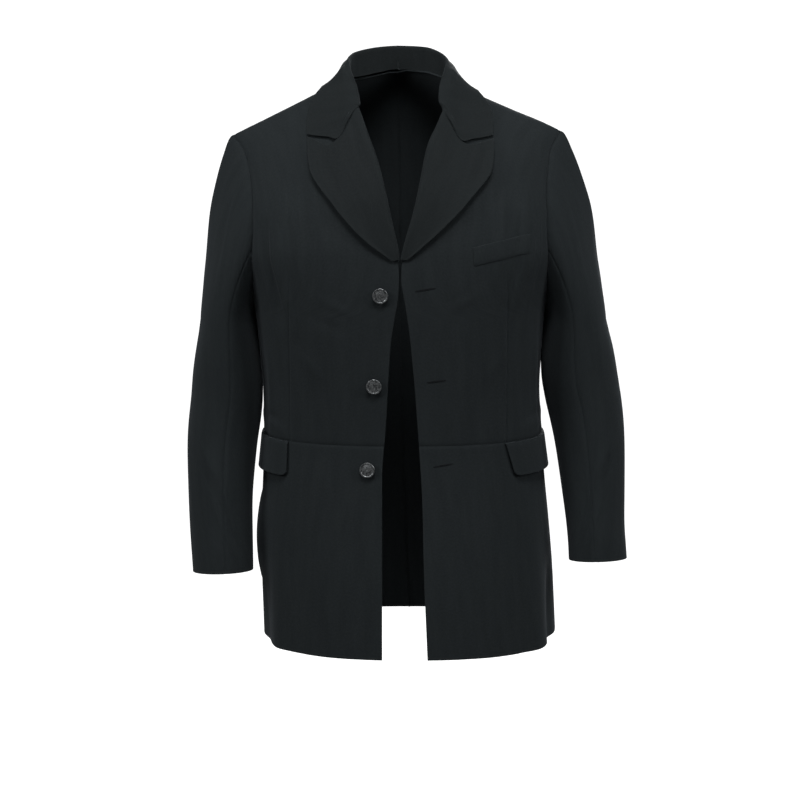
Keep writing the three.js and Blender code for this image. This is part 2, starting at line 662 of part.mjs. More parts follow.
// Breast pocket welt
const WELT = { fromAcross: 96.5, fromUp: -189, toAcross: 169, toUp: -174, high: 24 };
const weltGrid = [0, 0.5, 1].map((share) => [0, 0.2, 0.4, 0.6, 0.8, 1].map((along) => onFront(
  mix(WELT.fromAcross, WELT.toAcross, along) + 1.5 * share,
  mix(WELT.fromUp, WELT.toUp, along) - WELT.high * share,
  CLOTH + SEAM + 1.6,
)));
clothPiece('breast_welt', weltGrid, woolBlack('wool', 0x25292b));

// Metal buttons, turned in one with the shank that the thread holds
const BUTTONS = [
  { across: -26, up: -252 },
  { across: -34.5, up: -374 },
  { across: -43.5, up: -488 },
];
const BUTTON_RADIUS = 10.4;
const SHANK_RADIUS = 2.4;
const SHANK_HIGH = 2.2;
const profile = [
  [0, 0], [SHANK_RADIUS, 0], [SHANK_RADIUS, SHANK_HIGH], [BUTTON_RADIUS - 1.4, SHANK_HIGH],
  [BUTTON_RADIUS, SHANK_HIGH + 0.7], [BUTTON_RADIUS, SHANK_HIGH + 1.7],
  [BUTTON_RADIUS - 0.8, SHANK_HIGH + 2.5], [BUTTON_RADIUS - 2.2, SHANK_HIGH + 2.2],
  [BUTTON_RADIUS * 0.45, SHANK_HIGH + 2.9], [0, SHANK_HIGH + 3.1],
].map(([radius, high]) => new THREE.Vector2(radius, high));
BUTTONS.forEach((at, index) => {
  const metal = new THREE.MeshStandardMaterial({ color: 0x6f7375, roughness: 0.42, metalness: 0.85 });
  metal.name = 'pewter';
  const button = new THREE.Mesh(new THREE.LatheGeometry(profile, 28), metal);
  button.name = `button_${index + 1}`;
  const drop = dropOf(at.across, at.up);
  const turn = turnAt(drop, at.across);
  const facing = skinFacing(drop, turn);
  button.position.copy(raised(drop, turn, CLOTH / 2 + SEAM));
  button.quaternion.setFromUnitVectors(point(0, 1, 0), facing);
  coat.add(button);
});

export default coat;
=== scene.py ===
import math

import bpy
import numpy as np
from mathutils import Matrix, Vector


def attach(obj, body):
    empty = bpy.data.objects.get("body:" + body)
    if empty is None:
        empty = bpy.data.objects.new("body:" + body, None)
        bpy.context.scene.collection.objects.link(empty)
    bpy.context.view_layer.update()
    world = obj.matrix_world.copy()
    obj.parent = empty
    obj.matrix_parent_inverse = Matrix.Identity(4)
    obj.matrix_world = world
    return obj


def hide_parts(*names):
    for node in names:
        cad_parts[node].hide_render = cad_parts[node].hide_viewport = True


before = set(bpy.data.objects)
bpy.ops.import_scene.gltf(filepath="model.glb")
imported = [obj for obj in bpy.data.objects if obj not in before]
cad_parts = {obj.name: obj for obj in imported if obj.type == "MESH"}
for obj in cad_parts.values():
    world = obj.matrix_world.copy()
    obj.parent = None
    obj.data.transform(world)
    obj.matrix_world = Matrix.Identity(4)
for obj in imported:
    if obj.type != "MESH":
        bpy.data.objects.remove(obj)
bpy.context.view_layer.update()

# Foreparts and skirts: the two fronts of a long black wool coat, each cut in an upper part with a
# long dart and a lower part sewn on at the waist. Soft felted twill, turned in at the front edge
# and the hem and pressed, then hung open from the shoulders.
MM = 0.001
CLOTH = 1.9
CHEST = 200
ARMPIT = 283
WAIST = 456
HEM = 745
SIDE_SEAM = 100
SEAM_GAP = 0.3
SHOULDER_LEAN = 8
LEFT_SLOPE = 9.5
ARM_SLIMMER = {"right": 5, "left": 8}
DART_TOP = 226
SIDES = (("right", -1), ("left", 1))
DART_ACROSS = {"right": -148, "left": 143}


def table(columns, *rows):
    return dict(zip(columns.split(), np.array(rows, float).T))


SHOULDER = table(
    "across up",
    (-240, -55), (-227, -48), (-180, -25), (-101, 15), (-80, 27), (-50, 46), (0, 78),
    (50, 49), (80, 32), (101, 19), (160, -8), (219, -42), (235, -51),
)
BODY = table(
    "drop half front back centre square",
    (0, 223, 0, 0, -4, 2.5),
    (4, 223, 8, 22, -4, 2.5),
    (10, 223, 17, 42, -4, 2.5),
    (20, 223, 30, 62, -3, 2.5),
    (40, 222, 50, 88, -3, 2.5),
    (60, 222, 68, 103, -2, 2.5),
    (100, 221, 98, 118, -1, 2.5),
    (150, 221, 126, 125, 0, 2.5),
    (200, 220, 137, 126, 0, 2.5),
    (245, 208, 139, 122, 0, 2.5),
    (283, 199, 138, 117, 0, 2.5),
    (340, 194, 135, 109, 1, 2.45),
    (400, 190.5, 132, 102, 2, 2.4),
    (456, 192, 130, 99, 4, 2.4),
    (510, 194.5, 134, 105, 5, 2.4),
    (580, 199.5, 141, 115, 7, 2.4),
    (650, 203, 147, 123, 10, 2.4),
    (745, 205, 152, 129, 14, 2.4),
)
FRONT_EDGE = {
    "right": table(
        "across up",
        (-80, 27), (-77, 20), (-70, 8), (-58, -12), (-44, -48), (-32, -80), (-14, -155),
        (-2.5, -206), (-1.4, -233), (-12.5, -320), (-19.2, -432), (-24, -500), (-24, -745),
    ),
    "left": table(
        "across up",
        (80, 32), (77, 24), (70, 10), (60, -12), (52, -32), (39, -61), (29, -108), (21, -144),
        (9, -183), (2.8, -206), (1.6, -233), (5.3, -255), (12, -299), (18.6, -365),
        (25.3, -455), (30, -535), (32, -622), (37, -745),
    ),
}
# where the armhole runs: degrees round the body from the front, on the forepart and on the back
ARMHOLE = table(
    "drop front back",
    (0, 90, 90), (8, 81, 99), (18, 74, 106), (30, 69, 111), (45, 65.5, 114.5),
    (65, 63, 117), (95, 61, 119), (130, 60, 120), (165, 60, 120), (200, 61.5, 118.5),
    (228, 66, 115.5), (250, 72, 112), (267, 80, 107.5), (278, 90, 103), (283, 100, 100),
)
# long soft folds: turn is in degrees round from the front, start and end are below the shoulder,
# high is in millimetres, wide is in degrees and slant in degrees to a millimetre down
FOLDS = table(
    "turn start end high wide slant",
    (-42, 95, 320, 3.2, 5, 0), (-50, 150, 300, -2.6, 4, 0),
    (45, 90, 290, 3.4, 5, 0), (-86, 540, 665, 6.5, 26, 0),
    (-58, 500, 900, 3, 9, 0), (56, 500, 900, 3, 10, 0),
    (-76, 640, 850, -6, 13, 0), (77, 610, 860, -11, 14, 0),
    (122, 470, 900, 6, 12, 0), (-124, 470, 900, 6, 12, 0),
    (146, 480, 900, -5, 12, 0), (-148, 480, 900, -5, 12, 0),
    (128, 110, 330, 3, 7, 0), (-130, 110, 330, 3, 7, 0),
    (-46, 120, 290, 2.4, 1.9, 0.01), (-39.5, 150, 330, -1.8, 2.2, 0.012),
    (-54, 130, 330, 1.9, 2.4, -0.01), (-34, 100, 260, 1.4, 3.2, 0.02),
    (49.5, 110, 260, 2.2, 1.8, 0), (41, 130, 310, -1.9, 2.4, -0.012),
    (54, 120, 320, 2.1, 2.2, 0.006), (33, 90, 250, 1.3, 3.4, -0.02),
    (-24, 300, 452, 1.3, 4.5, -0.03), (22, 290, 450, 1.4, 4.5, 0.03),
    (-66, 330, 470, 1.8, 4, -0.02), (70, 320, 470, 1.9, 4, 0.02),
    (-78, 300, 450, -1.9, 4, 0.01), (84, 310, 452, -1.8, 4, 0),
    (-30, 470, 760, 1.1, 5, 0.012), (-44, 500, 800, -1.1, 5, 0.01),
    (30, 470, 770, 1.1, 5, -0.012), (46, 500, 800, -1.2, 5, -0.01),
    (-16, 520, 790, -0.7, 3.5, 0), (17, 520, 790, -0.7, 3.5, 0),
    (96, 510, 780, 1.6, 6, 0), (158, 120, 300, 1.4, 5, -0.05),
    (-160, 120, 300, 1.4, 5, 0.05), (148, 300, 440, -1.3, 5, 0.03),
    (-147, 300, 440, -1.3, 5, -0.03), (136, 330, 450, 1.5, 4, 0.02),
    (-137, 330, 450, 1.5, 4, -0.02), (112, 150, 340, -1.6, 3.4, 0.02),
    (-113, 150, 340, -1.6, 3.4, -0.02), (168, 500, 830, 1.8, 5, -0.01),
    (-167, 500, 830, 1.8, 5, 0.01), (133, 560, 840, -1.6, 4, 0.01),
    (-134, 560, 840, -1.6, 4, -0.01),
)
# short drag lines: turn and slant are in degrees, the rest is in millimetres
BODY_DRAGS = table(
    "turn drop slant long wide high",
    (-20, 268, 62, 70, 6, 1), (-24, 292, 70, 80, 7, -0.9),
    (20, 262, -60, 70, 6, 0.9), (-34, 350, 50, 90, 8, 0.9),
    (36, 352, -48, 90, 8, 0.9), (-60, 440, 80, 90, 6, 1.2),
    (-66, 425, 84, 80, 6, -1.2), (62, 438, -80, 90, 6, 1.2),
    (70, 424, -84, 80, 6, -1.2), (-92, 430, 86, 110, 7, 1.1),
    (94, 428, -86, 110, 7, 1.1), (150, 415, -80, 130, 9, 1.2),
    (-152, 418, 80, 130, 9, 1.2), (163, 398, -84, 100, 8, -1.0),
    (-164, 400, 84, 100, 8, -1.0), (128, 300, -28, 120, 8, 1.0),
    (-129, 300, 28, 120, 8, 1.0), (152, 90, 52, 90, 10, 0.9),
    (-153, 90, -52, 90, 10, 0.9),
)


FOLD_EDGE = 1.8
FOLD_FADE = 0.309
DRAG_BEND = 0.0016
BODY_MM_PER_DEGREE = 3.3


def mix(a, b, share):
    return a + (b - a) * share


def ease(a, b, at):
    t = np.clip((at - a) / (b - a), 0, 1)
    return t * t * (3 - 2 * t)


def read(rows, by, column, at):
    """A column of a table between its rows, on a curve that never passes them."""
    x, y = rows[by], rows[column]
    if x[-1] < x[0]:
        x, y = x[::-1], y[::-1]
    at = np.asarray(at, float)
    h = np.diff(x)
    slope = np.diff(y) / h
    before, after = slope[:-1], slope[1:]
    same = before * after > 0
    bend = np.concatenate([
        slope[:1],
        np.where(same, 2 * before * after / np.where(same, before + after, 1), 0),
        slope[-1:],
    ])
    i = np.clip(np.searchsorted(x, at, side="left") - 1, 0, len(h) - 1)
    t = np.clip((at - x[i]) / h[i], 0, 1)
    ends = y[i] * (1 + 2 * t) * (1 - t) ** 2 + y[i + 1] * t * t * (3 - 2 * t)
    return ends + h[i] * (bend[i] * t * (1 - t) ** 2 - bend[i + 1] * t * t * (1 - t))


def shoulder_up(across):
    return read(SHOULDER, "across", "up", across)


def body(drop, column):
    return read(BODY, "drop", column, drop)


def up_of(drop, across):
    return np.where(drop < CHEST, mix(shoulder_up(across), -CHEST, drop / CHEST), -drop)


def drop_of(across, up):
    top = shoulder_up(across)
    return np.maximum(np.where(up > -CHEST, CHEST * (top - up) / (top + CHEST), -up), 0)


def fold_height(drop, turn):
    high = np.zeros(np.broadcast(drop, turn).shape)
    for at, start, end, tall, wide, slant in zip(*FOLDS.values()):
        middle = (start + end) / 2
        off = (turn - at - slant * (drop - middle)) / wide
        along = np.clip((drop - start) / (end - start), 0, 1)
        near = np.exp(-2 * off ** 2) * (1 - FOLD_FADE * off ** 2)
        near = np.where(np.abs(off) < FOLD_EDGE, near, 0)
        high = high + tall * near * np.sin(np.pi * along) ** 0.8
    round_body = turn * BODY_MM_PER_DEGREE
    return high + drag_lines(BODY_DRAGS, round_body, drop, BODY_MM_PER_DEGREE)


def drag_lines(rows, across, down, across_scale=1.0):
    high = np.zeros(np.broadcast(across, down).shape)
    for at, place, slant, long, wide, tall in zip(*rows.values()):
        side, fall = np.sin(np.radians(slant)), np.cos(np.radians(slant))
        x, y = across - at * across_scale, down - place
        along = x * side + y * fall
        off = x * fall - y * side + DRAG_BEND * along ** 2
        run = np.cos(np.pi / 2 * np.clip(along / (long / 2), -1, 1)) ** 2
        high = high + tall * run * np.exp(-(off / wide) ** 2)
    return high


def skin(drop, turn):
    """The middle of the body's cloth, so far below the shoulder and so far round."""
    drop, turn = np.broadcast_arrays(np.asarray(drop, float), np.asarray(turn, float))
    side, ahead = np.sin(np.radians(turn)), np.cos(np.radians(turn))
    power = 2 / body(drop, "square")
    depth = np.where(ahead > 0, -body(drop, "front"), body(drop, "back"))
    lean = np.where(drop < CHEST, SHOULDER_LEAN * (1 - drop / CHEST), 0)
    out = fold_height(drop, turn)
    wide = np.sign(side) * np.abs(side) ** power * (body(drop, "half") + out)
    x = body(drop, "centre") + wide
    y = lean + np.abs(ahead) ** power * (depth + np.sign(depth) * out)
    return np.stack([x, y, up_of(drop, x)], -1)


def turn_at(drop, across):
    off = (across - body(drop, "centre")) / body(drop, "half")
    share = np.minimum(np.abs(off), 1) ** (body(drop, "square") / 2)
    return np.sign(off) * np.degrees(np.arcsin(share))


def unit(v):
    return v / np.maximum(np.linalg.norm(v, axis=-1, keepdims=True), 1e-9)


def skin_facing(drop, turn):
    drop, turn = np.broadcast_arrays(np.asarray(drop, float), np.asarray(turn, float))

    def facing(d, t):
        along = skin(d + 1.5, t) - skin(np.maximum(d - 1.5, 0), t)
        return unit(np.cross(along, skin(d, t + 0.6) - skin(d, t - 0.6)))

    out = facing(drop, turn)
    top = drop <= 0.5
    if top.any():
        t, one = turn[top], np.ones_like(turn[top])
        other = np.where(t < 0, -180.0, 180.0) - t
        out[top] = unit(facing(one, t) + facing(one, other))
    return out


def raised(drop, turn, lift):
    return skin(drop, turn) + skin_facing(drop, turn) * np.asarray(lift)[..., None]


def on_front(across, up, lift):
    drop = drop_of(across, up)
    return raised(drop, turn_at(drop, across), lift)


def grid_facing(grid):
    along = np.gradient(grid, axis=0)
    across = np.gradient(grid, axis=1)
    return unit(np.cross(along, across))


def closer(stops, step, least=1):
    """Stops with evenly spaced ones between them, no further apart than a step."""
    parts = [
        np.linspace(a, b, max(least, math.ceil(abs(b - a) / step)), endpoint=False)
        for a, b in zip(stops, stops[1:])
    ]
    return np.concatenate([*parts, stops[-1:]])


RIM_STEPS = (0.0, 0.06, 0.22, 0.5, 0.95, 1.8)


def with_rims(grid):
    """Adds close rows along all four edges, where the cloth turns over."""
    for axis in (0, 1):
        grid = np.moveaxis(grid, axis, 0)

        def rim(edge, inside):
            way = inside - edge
            long = np.maximum(np.linalg.norm(way[..., :3], axis=-1, keepdims=True), 1e-6)
            reach = np.minimum(RIM_STEPS[-1], 0.8 * long) / RIM_STEPS[-1]
            return np.stack([edge + way / long * reach * step for step in RIM_STEPS])

        grid = np.concatenate([rim(grid[0], grid[1]), grid[1:-1], rim(grid[-1], grid[-2])[::-1]])
        grid = np.moveaxis(grid, 0, axis)
    return grid


def run_along(grid, axis):
    steps = np.linalg.norm(np.diff(grid[..., :3], axis=axis), axis=-1)
    start = np.zeros_like(np.take(grid[..., 0], [0], axis=axis))
    return np.concatenate([start, np.cumsum(steps, axis=axis)], axis=axis)


UV_UNIT = 100


def new_object(name, data):
    obj = bpy.data.objects.new(name, data)
    bpy.context.scene.collection.objects.link(obj)
    return obj


def new_material(name):
    material = bpy.data.materials.new(name)
    material.use_nodes = True
    return material, material.node_tree, material.node_tree.nodes["Principled BSDF"]


def settled(points):
    """The left shoulder slopes a little more, and both upper arms hang a little slimmer."""
    across, up = points[:, 0], points[:, 2]
    lower = LEFT_SLOPE * ease(35, 82, across) * ease(235, 150, across) * ease(-90, 5, up)
    slim = np.where(across < 0, -ARM_SLIMMER["right"], ARM_SLIMMER["left"])
    slim = slim * ease(215, 285, abs(across)) * ease(-130, -225, up) * ease(-385, -250, up)
    return points - np.stack([slim, 0 * slim, lower], 1)


def add_mesh(name, points, faces, material, uv=None, edge=None):
    mesh = bpy.data.meshes.new(name)
    mesh.from_pydata((settled(points) * MM).tolist(), [], faces)
    mesh.polygons.foreach_set("use_smooth", np.ones(len(mesh.polygons), bool))
    if uv is not None:
        corner = np.empty(len(mesh.loops), np.int32)
        mesh.loops.foreach_get("vertex_index", corner)
        layer = mesh.uv_layers.new(name="cut")
        layer.data.foreach_set("uv", (uv[corner] / UV_UNIT).astype(np.float32).ravel())
    if edge is not None:
        worn = mesh.attributes.new("edge", "FLOAT", "POINT")
        worn.data.foreach_set("value", edge.astype(np.float32))
    mesh.materials.append(material)
    obj = new_object(name, mesh)
    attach(obj, "root")
    return obj


SIDES_OF = {"top": (0, 0), "bottom": (0, -1), "first": (1, 0), "last": (1, -1)}
EDGE_LEAST = 0.12
GROOVE_WIDE = 1.9
PUCKER_WIDE = 9
PUCKER_START = 2
RIPPLE_LONG = 2.3
RIPPLE_DRIFT = 17
RIPPLE_SWELL = 31
STITCH_IN = 5.5
STITCH_WIDE = 1.1
STITCH_DEEP = 0.14
WORN_WIDE = 1.6
# how far on past the seam and how deep under it the two last rows of a sewn edge lie
TUCKS = ((0.3, 0.5), (0.6, 1.35))


def cloth_shell(name, grid, material, facing=None, thick=CLOTH, seams=None, pressed=None,
                pucker=0.0, groove=0.75):
    """A wall of cloth on a grid laid from the top down and towards the wearer's left.

    seams gives the sides that are sewn, each with how far it is (0 to 1) along that side; there
    the cloth dips and goes on under the seam. The other sides are turned edges."""
    sewn = {side: np.asarray((seams or {}).get(side, 0.0), float) for side in SIDES_OF}
    if facing is None:
        facing = grid_facing(grid)
    marks = []
    for side, (axis, _) in SIDES_OF.items():
        share = np.broadcast_to(sewn[side], grid.shape[1 - axis])
        marks.append(np.broadcast_to(np.expand_dims(share, axis), grid.shape[:2]))
    joined = with_rims(np.concatenate([grid, facing, np.stack(marks, -1)], -1))
    grid, facing, marks = joined[..., :3], unit(joined[..., 3:6]), joined[..., 6:]
    down, across = run_along(grid, 0), run_along(grid, 1)
    away = {
        "top": down, "bottom": down[-1:] - down,
        "first": across, "last": across[:, -1:] - across,
    }
    half = thick / 2
    wall, shift, worn = np.full(down.shape, half), np.zeros(down.shape), np.zeros(down.shape)
    for k, side in enumerate(SIDES_OF):
        far, held = away[side], marks[..., k]
        turned = np.sqrt(1 - (1 - np.minimum(far, half) / half) ** 2)
        turned = half * np.maximum(turned, EDGE_LEAST)
        wall = np.minimum(wall, mix(turned, half, held))
        run = across if side in ("top", "bottom") else down
        ripple = np.sin(run / RIPPLE_LONG + 1.7 * np.sin(run / RIPPLE_DRIFT))
        ripple = ripple * np.sin(run / RIPPLE_SWELL + 0.6)
        near = np.exp(-(far / PUCKER_WIDE) ** 2) * (1 - np.exp(-(far / PUCKER_START) ** 2))
        shift += held * (pucker * ripple * near - groove * np.exp(-(far / GROOVE_WIDE) ** 2))
        shift -= (1 - held) * STITCH_DEEP * np.exp(-((far - STITCH_IN) / STITCH_WIDE) ** 2)
        worn = np.maximum(worn, (1 - held) * np.exp(-far / WORN_WIDE))
    if pressed is not None:
        shift = shift + pressed(grid)
    uv = np.stack([across - across[:, -1:] / 2, -down], -1)
    # in each row of the sheet: middle, facing, wall, uv, worn and the marks of the four sides
    parts = [grid + facing * shift[..., None], facing, wall[..., None], uv, worn[..., None], marks]
    sheet = np.concatenate(parts, -1)
    for k, (side, (axis, at)) in enumerate(SIDES_OF.items()):
        if not sewn[side].any():
            continue
        edge = np.take(sheet, [at], axis)
        inside = np.take(sheet, [3 if at == 0 else -4], axis)
        onward = unit(edge[..., :3] - inside[..., :3])
        steps = []
        for go, sink in TUCKS:
            under = edge.copy()
            deep = sink * (0.25 + groove)
            under[..., :3] += (onward * go - edge[..., 3:6] * deep) * edge[..., 10 + k, None]
            steps.append(under)
        order = [*steps[::-1], sheet] if at == 0 else [sheet, *steps]
        sheet = np.concatenate(order, axis)
    middle, facing, wall = sheet[..., :3], sheet[..., 3:6], sheet[..., 6:7]
    outer, inner = middle + facing * wall, middle - facing * wall
    rows, columns = middle.shape[:2]
    count = rows * columns
    here = (np.arange(rows - 1)[:, None] * columns + np.arange(columns - 1)).ravel()
    shell = np.stack([here, here + columns, here + columns + 1, here + 1], -1)
    around = np.concatenate([
        np.arange(rows) * columns,
        (rows - 1) * columns + np.arange(1, columns),
        (np.arange(rows - 2, -1, -1)) * columns + columns - 1,
        np.arange(columns - 2, 0, -1),
    ])
    ahead = np.roll(around, -1)
    rim = np.stack([around, around + count, ahead + count, ahead], -1)
    faces = np.concatenate([shell, shell[:, ::-1] + count, rim])
    points = np.concatenate([outer.reshape(-1, 3), inner.reshape(-1, 3)])
    uv, worn = sheet[..., 7:9].reshape(-1, 2), sheet[..., 9].ravel()
    uv, worn = np.concatenate([uv, uv]), np.concatenate([worn, worn])
    return add_mesh(name, points, faces.tolist(), material, uv, worn)


def node_group(name, sockets_in, sockets_out):
    group = bpy.data.node_groups.new(name, "ShaderNodeTree")
    for label, kind, value in sockets_in:
        socket = group.interface.new_socket(label, in_out="INPUT", socket_type=kind)
        if value is not None:
            socket.default_value = value
    for label, kind in sockets_out:
        group.interface.new_socket(label, in_out="OUTPUT", socket_type=kind)
    return group, group.nodes.new("NodeGroupInput"), group.nodes.new("NodeGroupOutput")


def place(tree, kind, links=(), **values):
    """A node with its settings and unlinked inputs, and what feeds it."""
    node = tree.nodes.new(kind)
    for key, value in values.items():
        if hasattr(node, key):
            setattr(node, key, value)
        else:
            node.inputs[key.replace("_", " ")].default_value = value
    for source, target in links:
        tree.links.new(source, node.inputs[target])
    return node


def noise(tree, source, scale, detail, roughness=0.5):
    return place(
        tree, "ShaderNodeTexNoise", [(source, 0)], Scale=scale, Detail=detail, Roughness=roughness,
    ).outputs["Fac"]


def maths(tree, operation, first, second, **values):
    links = [(first, 0), (second, 1)]
    return place(tree, "ShaderNodeMath", links, operation=operation, **values).outputs[0]


def ranged(tree, source, low, high, to_low, to_high):
    return place(
        tree, "ShaderNodeMapRange", [(source, 0)],
        From_Min=low, From_Max=high, To_Min=to_low, To_Max=to_high,
    ).outputs[0]


# the felted twill: fine slanted ribs under a soft nap, a little uneven in its dye along the cut
weave, weave_in, weave_out = node_group(
    "felted_twill",
    (
        ("Dye", "NodeSocketColor", (0.014, 0.0165, 0.018, 1)),
        ("Bloom", "NodeSocketColor", (0.03, 0.034, 0.036, 1)),
        ("Rib Turn", "NodeSocketFloat", 0.79),
        ("Worn", "NodeSocketFloat", 0.5),
    ),
    (
        ("Colour", "NodeSocketColor"),
        ("Roughness", "NodeSocketFloat"),
        ("Height", "NodeSocketFloat"),
    ),
)
cut = place(weave, "ShaderNodeUVMap", uv_map="cut")
turned_cut = place(
    weave, "ShaderNodeVectorRotate", [(cut.outputs[0], 0), (weave_in.outputs["Rib Turn"], 3)],
    rotation_type="Z_AXIS",
)
ribs = place(
    weave, "ShaderNodeTexWave", [(turned_cut.outputs[0], 0)],
    wave_profile="SIN", Scale=30.0, Distortion=1.2, Detail=1.0, Detail_Scale=4.0,
)
hung_cut = place(weave, "ShaderNodeMapping", [(cut.outputs[0], 0)])
hung_cut.inputs["Scale"].default_value = (1, 0.16, 1)
nap = noise(weave, cut.outputs[0], 90.0, 4.0, 0.7)
lie = noise(weave, hung_cut.outputs[0], 7.0, 3.0, 0.6)
speck = noise(weave, cut.outputs[0], 34.0, 3.0, 0.8)
rib_height = place(weave, "ShaderNodeMath", [(ribs.outputs["Fac"], 0)], operation="MULTIPLY")
rib_height.inputs[1].default_value = 0.35
surface_height = maths(weave, "ADD", rib_height.outputs[0], nap)
bloom_share = ranged(weave, lie, 0.3, 0.72, 0.0, 0.22)
fibre_share = ranged(weave, speck, 0.4, 0.75, 0.0, 0.4)
edge_mark = place(weave, "ShaderNodeAttribute", attribute_name="edge")
edge_share = maths(weave, "MULTIPLY", edge_mark.outputs["Fac"], weave_in.outputs["Worn"])
both_shares = maths(weave, "ADD", bloom_share, fibre_share)
all_shares = maths(weave, "ADD", both_shares, edge_share, use_clamp=True)
dyed = place(
    weave, "ShaderNodeMix",
    [(all_shares, 0), (weave_in.outputs["Dye"], 6), (weave_in.outputs["Bloom"], 7)],
    data_type="RGBA",
)
dull = ranged(weave, all_shares, 0.0, 1.0, 0.94, 0.72)
weave.links.new(dyed.outputs[2], weave_out.inputs["Colour"])
weave.links.new(dull, weave_out.inputs["Roughness"])
weave.links.new(surface_height, weave_out.inputs["Height"])


def wool(name, dye, bloom, rib_turn=0.79, worn=0.5, depth=0.00012):
    material, tree, shader = new_material(name)
    shader.inputs["Specular IOR Level"].default_value = 0.16
    shader.inputs["Sheen Weight"].default_value = 0.06
    shader.inputs["Sheen Roughness"].default_value = 0.4
    shader.inputs["Sheen Tint"].default_value = (0.62, 0.7, 0.78, 1)
    cloth = tree.nodes.new("ShaderNodeGroup")
    cloth.node_tree = weave
    cloth.inputs["Dye"].default_value = (*dye, 1)
    cloth.inputs["Bloom"].default_value = (*bloom, 1)
    cloth.inputs["Rib Turn"].default_value = rib_turn
    cloth.inputs["Worn"].default_value = worn
    bump = place(
        tree, "ShaderNodeBump", [(cloth.outputs["Height"], "Height")],
        Strength=0.6, Distance=depth,
    )
    tree.links.new(cloth.outputs["Colour"], shader.inputs["Base Color"])
    tree.links.new(cloth.outputs["Roughness"], shader.inputs["Roughness"])
    tree.links.new(bump.outputs[0], shader.inputs["Normal"])
    return material


BLACK = (0.0066, 0.0090, 0.0102)
BLOOM = (0.0142, 0.0180, 0.0196)
body_wool = wool("black_body_wool", BLACK, BLOOM, worn=0.12)

ARM_DROPS = ARMHOLE["drop"]
ROW_STEP = 4.5
UPPER_DROPS = closer([*closer(ARM_DROPS, ROW_STEP, 4), WAIST], ROW_STEP)
SKIRT_DROPS = closer([WAIST, HEM], ROW_STEP)
BESIDE_DART = (-5, -3.2, -2, -1.2, -0.6, 0, 0.6, 1.2, 2, 3.2, 5)
EDGE_TO_DART = np.linspace(0, 1, 40)[:-1]
DART_TO_SIDE = np.linspace(0, 1, 30)[1:]
DART_FADE = (1, 26)
DART_DEEP = 0.95
DART_RIDGE = 0.25


def front_edge_across(side, drop):
    rows = FRONT_EDGE[side]
    by_drop = {"drop": drop_of(rows["across"], rows["up"]), "across": rows["across"]}
    return read(by_drop, "drop", "across", drop)


def front_turns(side, sign, drop):
    drop = drop[:, None]
    edge = turn_at(drop, front_edge_across(side, drop))
    beside = sign * np.array(BESIDE_DART)
    dart = turn_at(drop, DART_ACROSS[side] + beside)
    end = sign * np.where(drop < ARMPIT, read(ARMHOLE, "drop", "front", drop), SIDE_SEAM)
    ahead = mix(edge, dart[:, :1], EDGE_TO_DART)
    behind = mix(dart[:, -1:], end, DART_TO_SIDE)
    return np.concatenate([ahead, dart, behind], 1)


def laid(sign, grid, facing, backwards=False):
    """The grid and its facing with the columns towards the wearer's left."""
    if (sign > 0) != backwards:
        return grid, facing
    return grid[:, ::-1], facing[:, ::-1]


def draw_back(grid, edges):
    """Draws edges of a grid back by half the gap that a seam keeps."""
    grid = grid.copy()
    for axis, at in (SIDES_OF[side] for side in edges):
        lines = np.moveaxis(grid, axis, 0)
        next_in = 1 if at == 0 else -2
        lines[at] += unit(lines[next_in] - lines[at]) * SEAM_GAP / 2
    return grid


def dart_pressed(side):
    def press(grid):
        below = ease(-DART_TOP - DART_FADE[0], -DART_TOP - DART_FADE[1], grid[..., 2])
        off = grid[..., 0] - DART_ACROSS[side]
        ridge = DART_RIDGE * np.exp(-((np.abs(off) - 3.5) / 2) ** 2)
        sunk = DART_DEEP * np.exp(-(off / 0.9) ** 2) - ridge
        return np.where(grid[..., 1] < 0, -below * sunk, 0)
    return press


for side, sign in SIDES:
    turns = front_turns(side, sign, UPPER_DROPS)
    drops = np.broadcast_to(UPPER_DROPS[:, None], turns.shape)
    grid = draw_back(skin(drops, turns), ("top", "bottom", "last"))
    outer = "last" if sign > 0 else "first"
    grid, out = laid(sign, grid, skin_facing(drops, turns))
    forepart = cloth_shell(
        f"forepart_cloth_{side}", grid, body_wool, out,
        seams={"top": 1, "bottom": 1, outer: 1}, pressed=dart_pressed(side), pucker=0.14,
    )
    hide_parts(f"forepart_{side}")

    turns = front_turns(side, sign, SKIRT_DROPS)
    drops = np.broadcast_to(SKIRT_DROPS[:, None], turns.shape)
    grid = draw_back(skin(drops, turns), ("top", "last"))
    grid, out = laid(sign, grid, skin_facing(drops, turns))
    skirt = cloth_shell(
        f"skirt_cloth_{side}", grid, body_wool, out, seams={"top": 1, outer: 1}, pucker=0.14,
    )
    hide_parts(f"skirt_{side}")

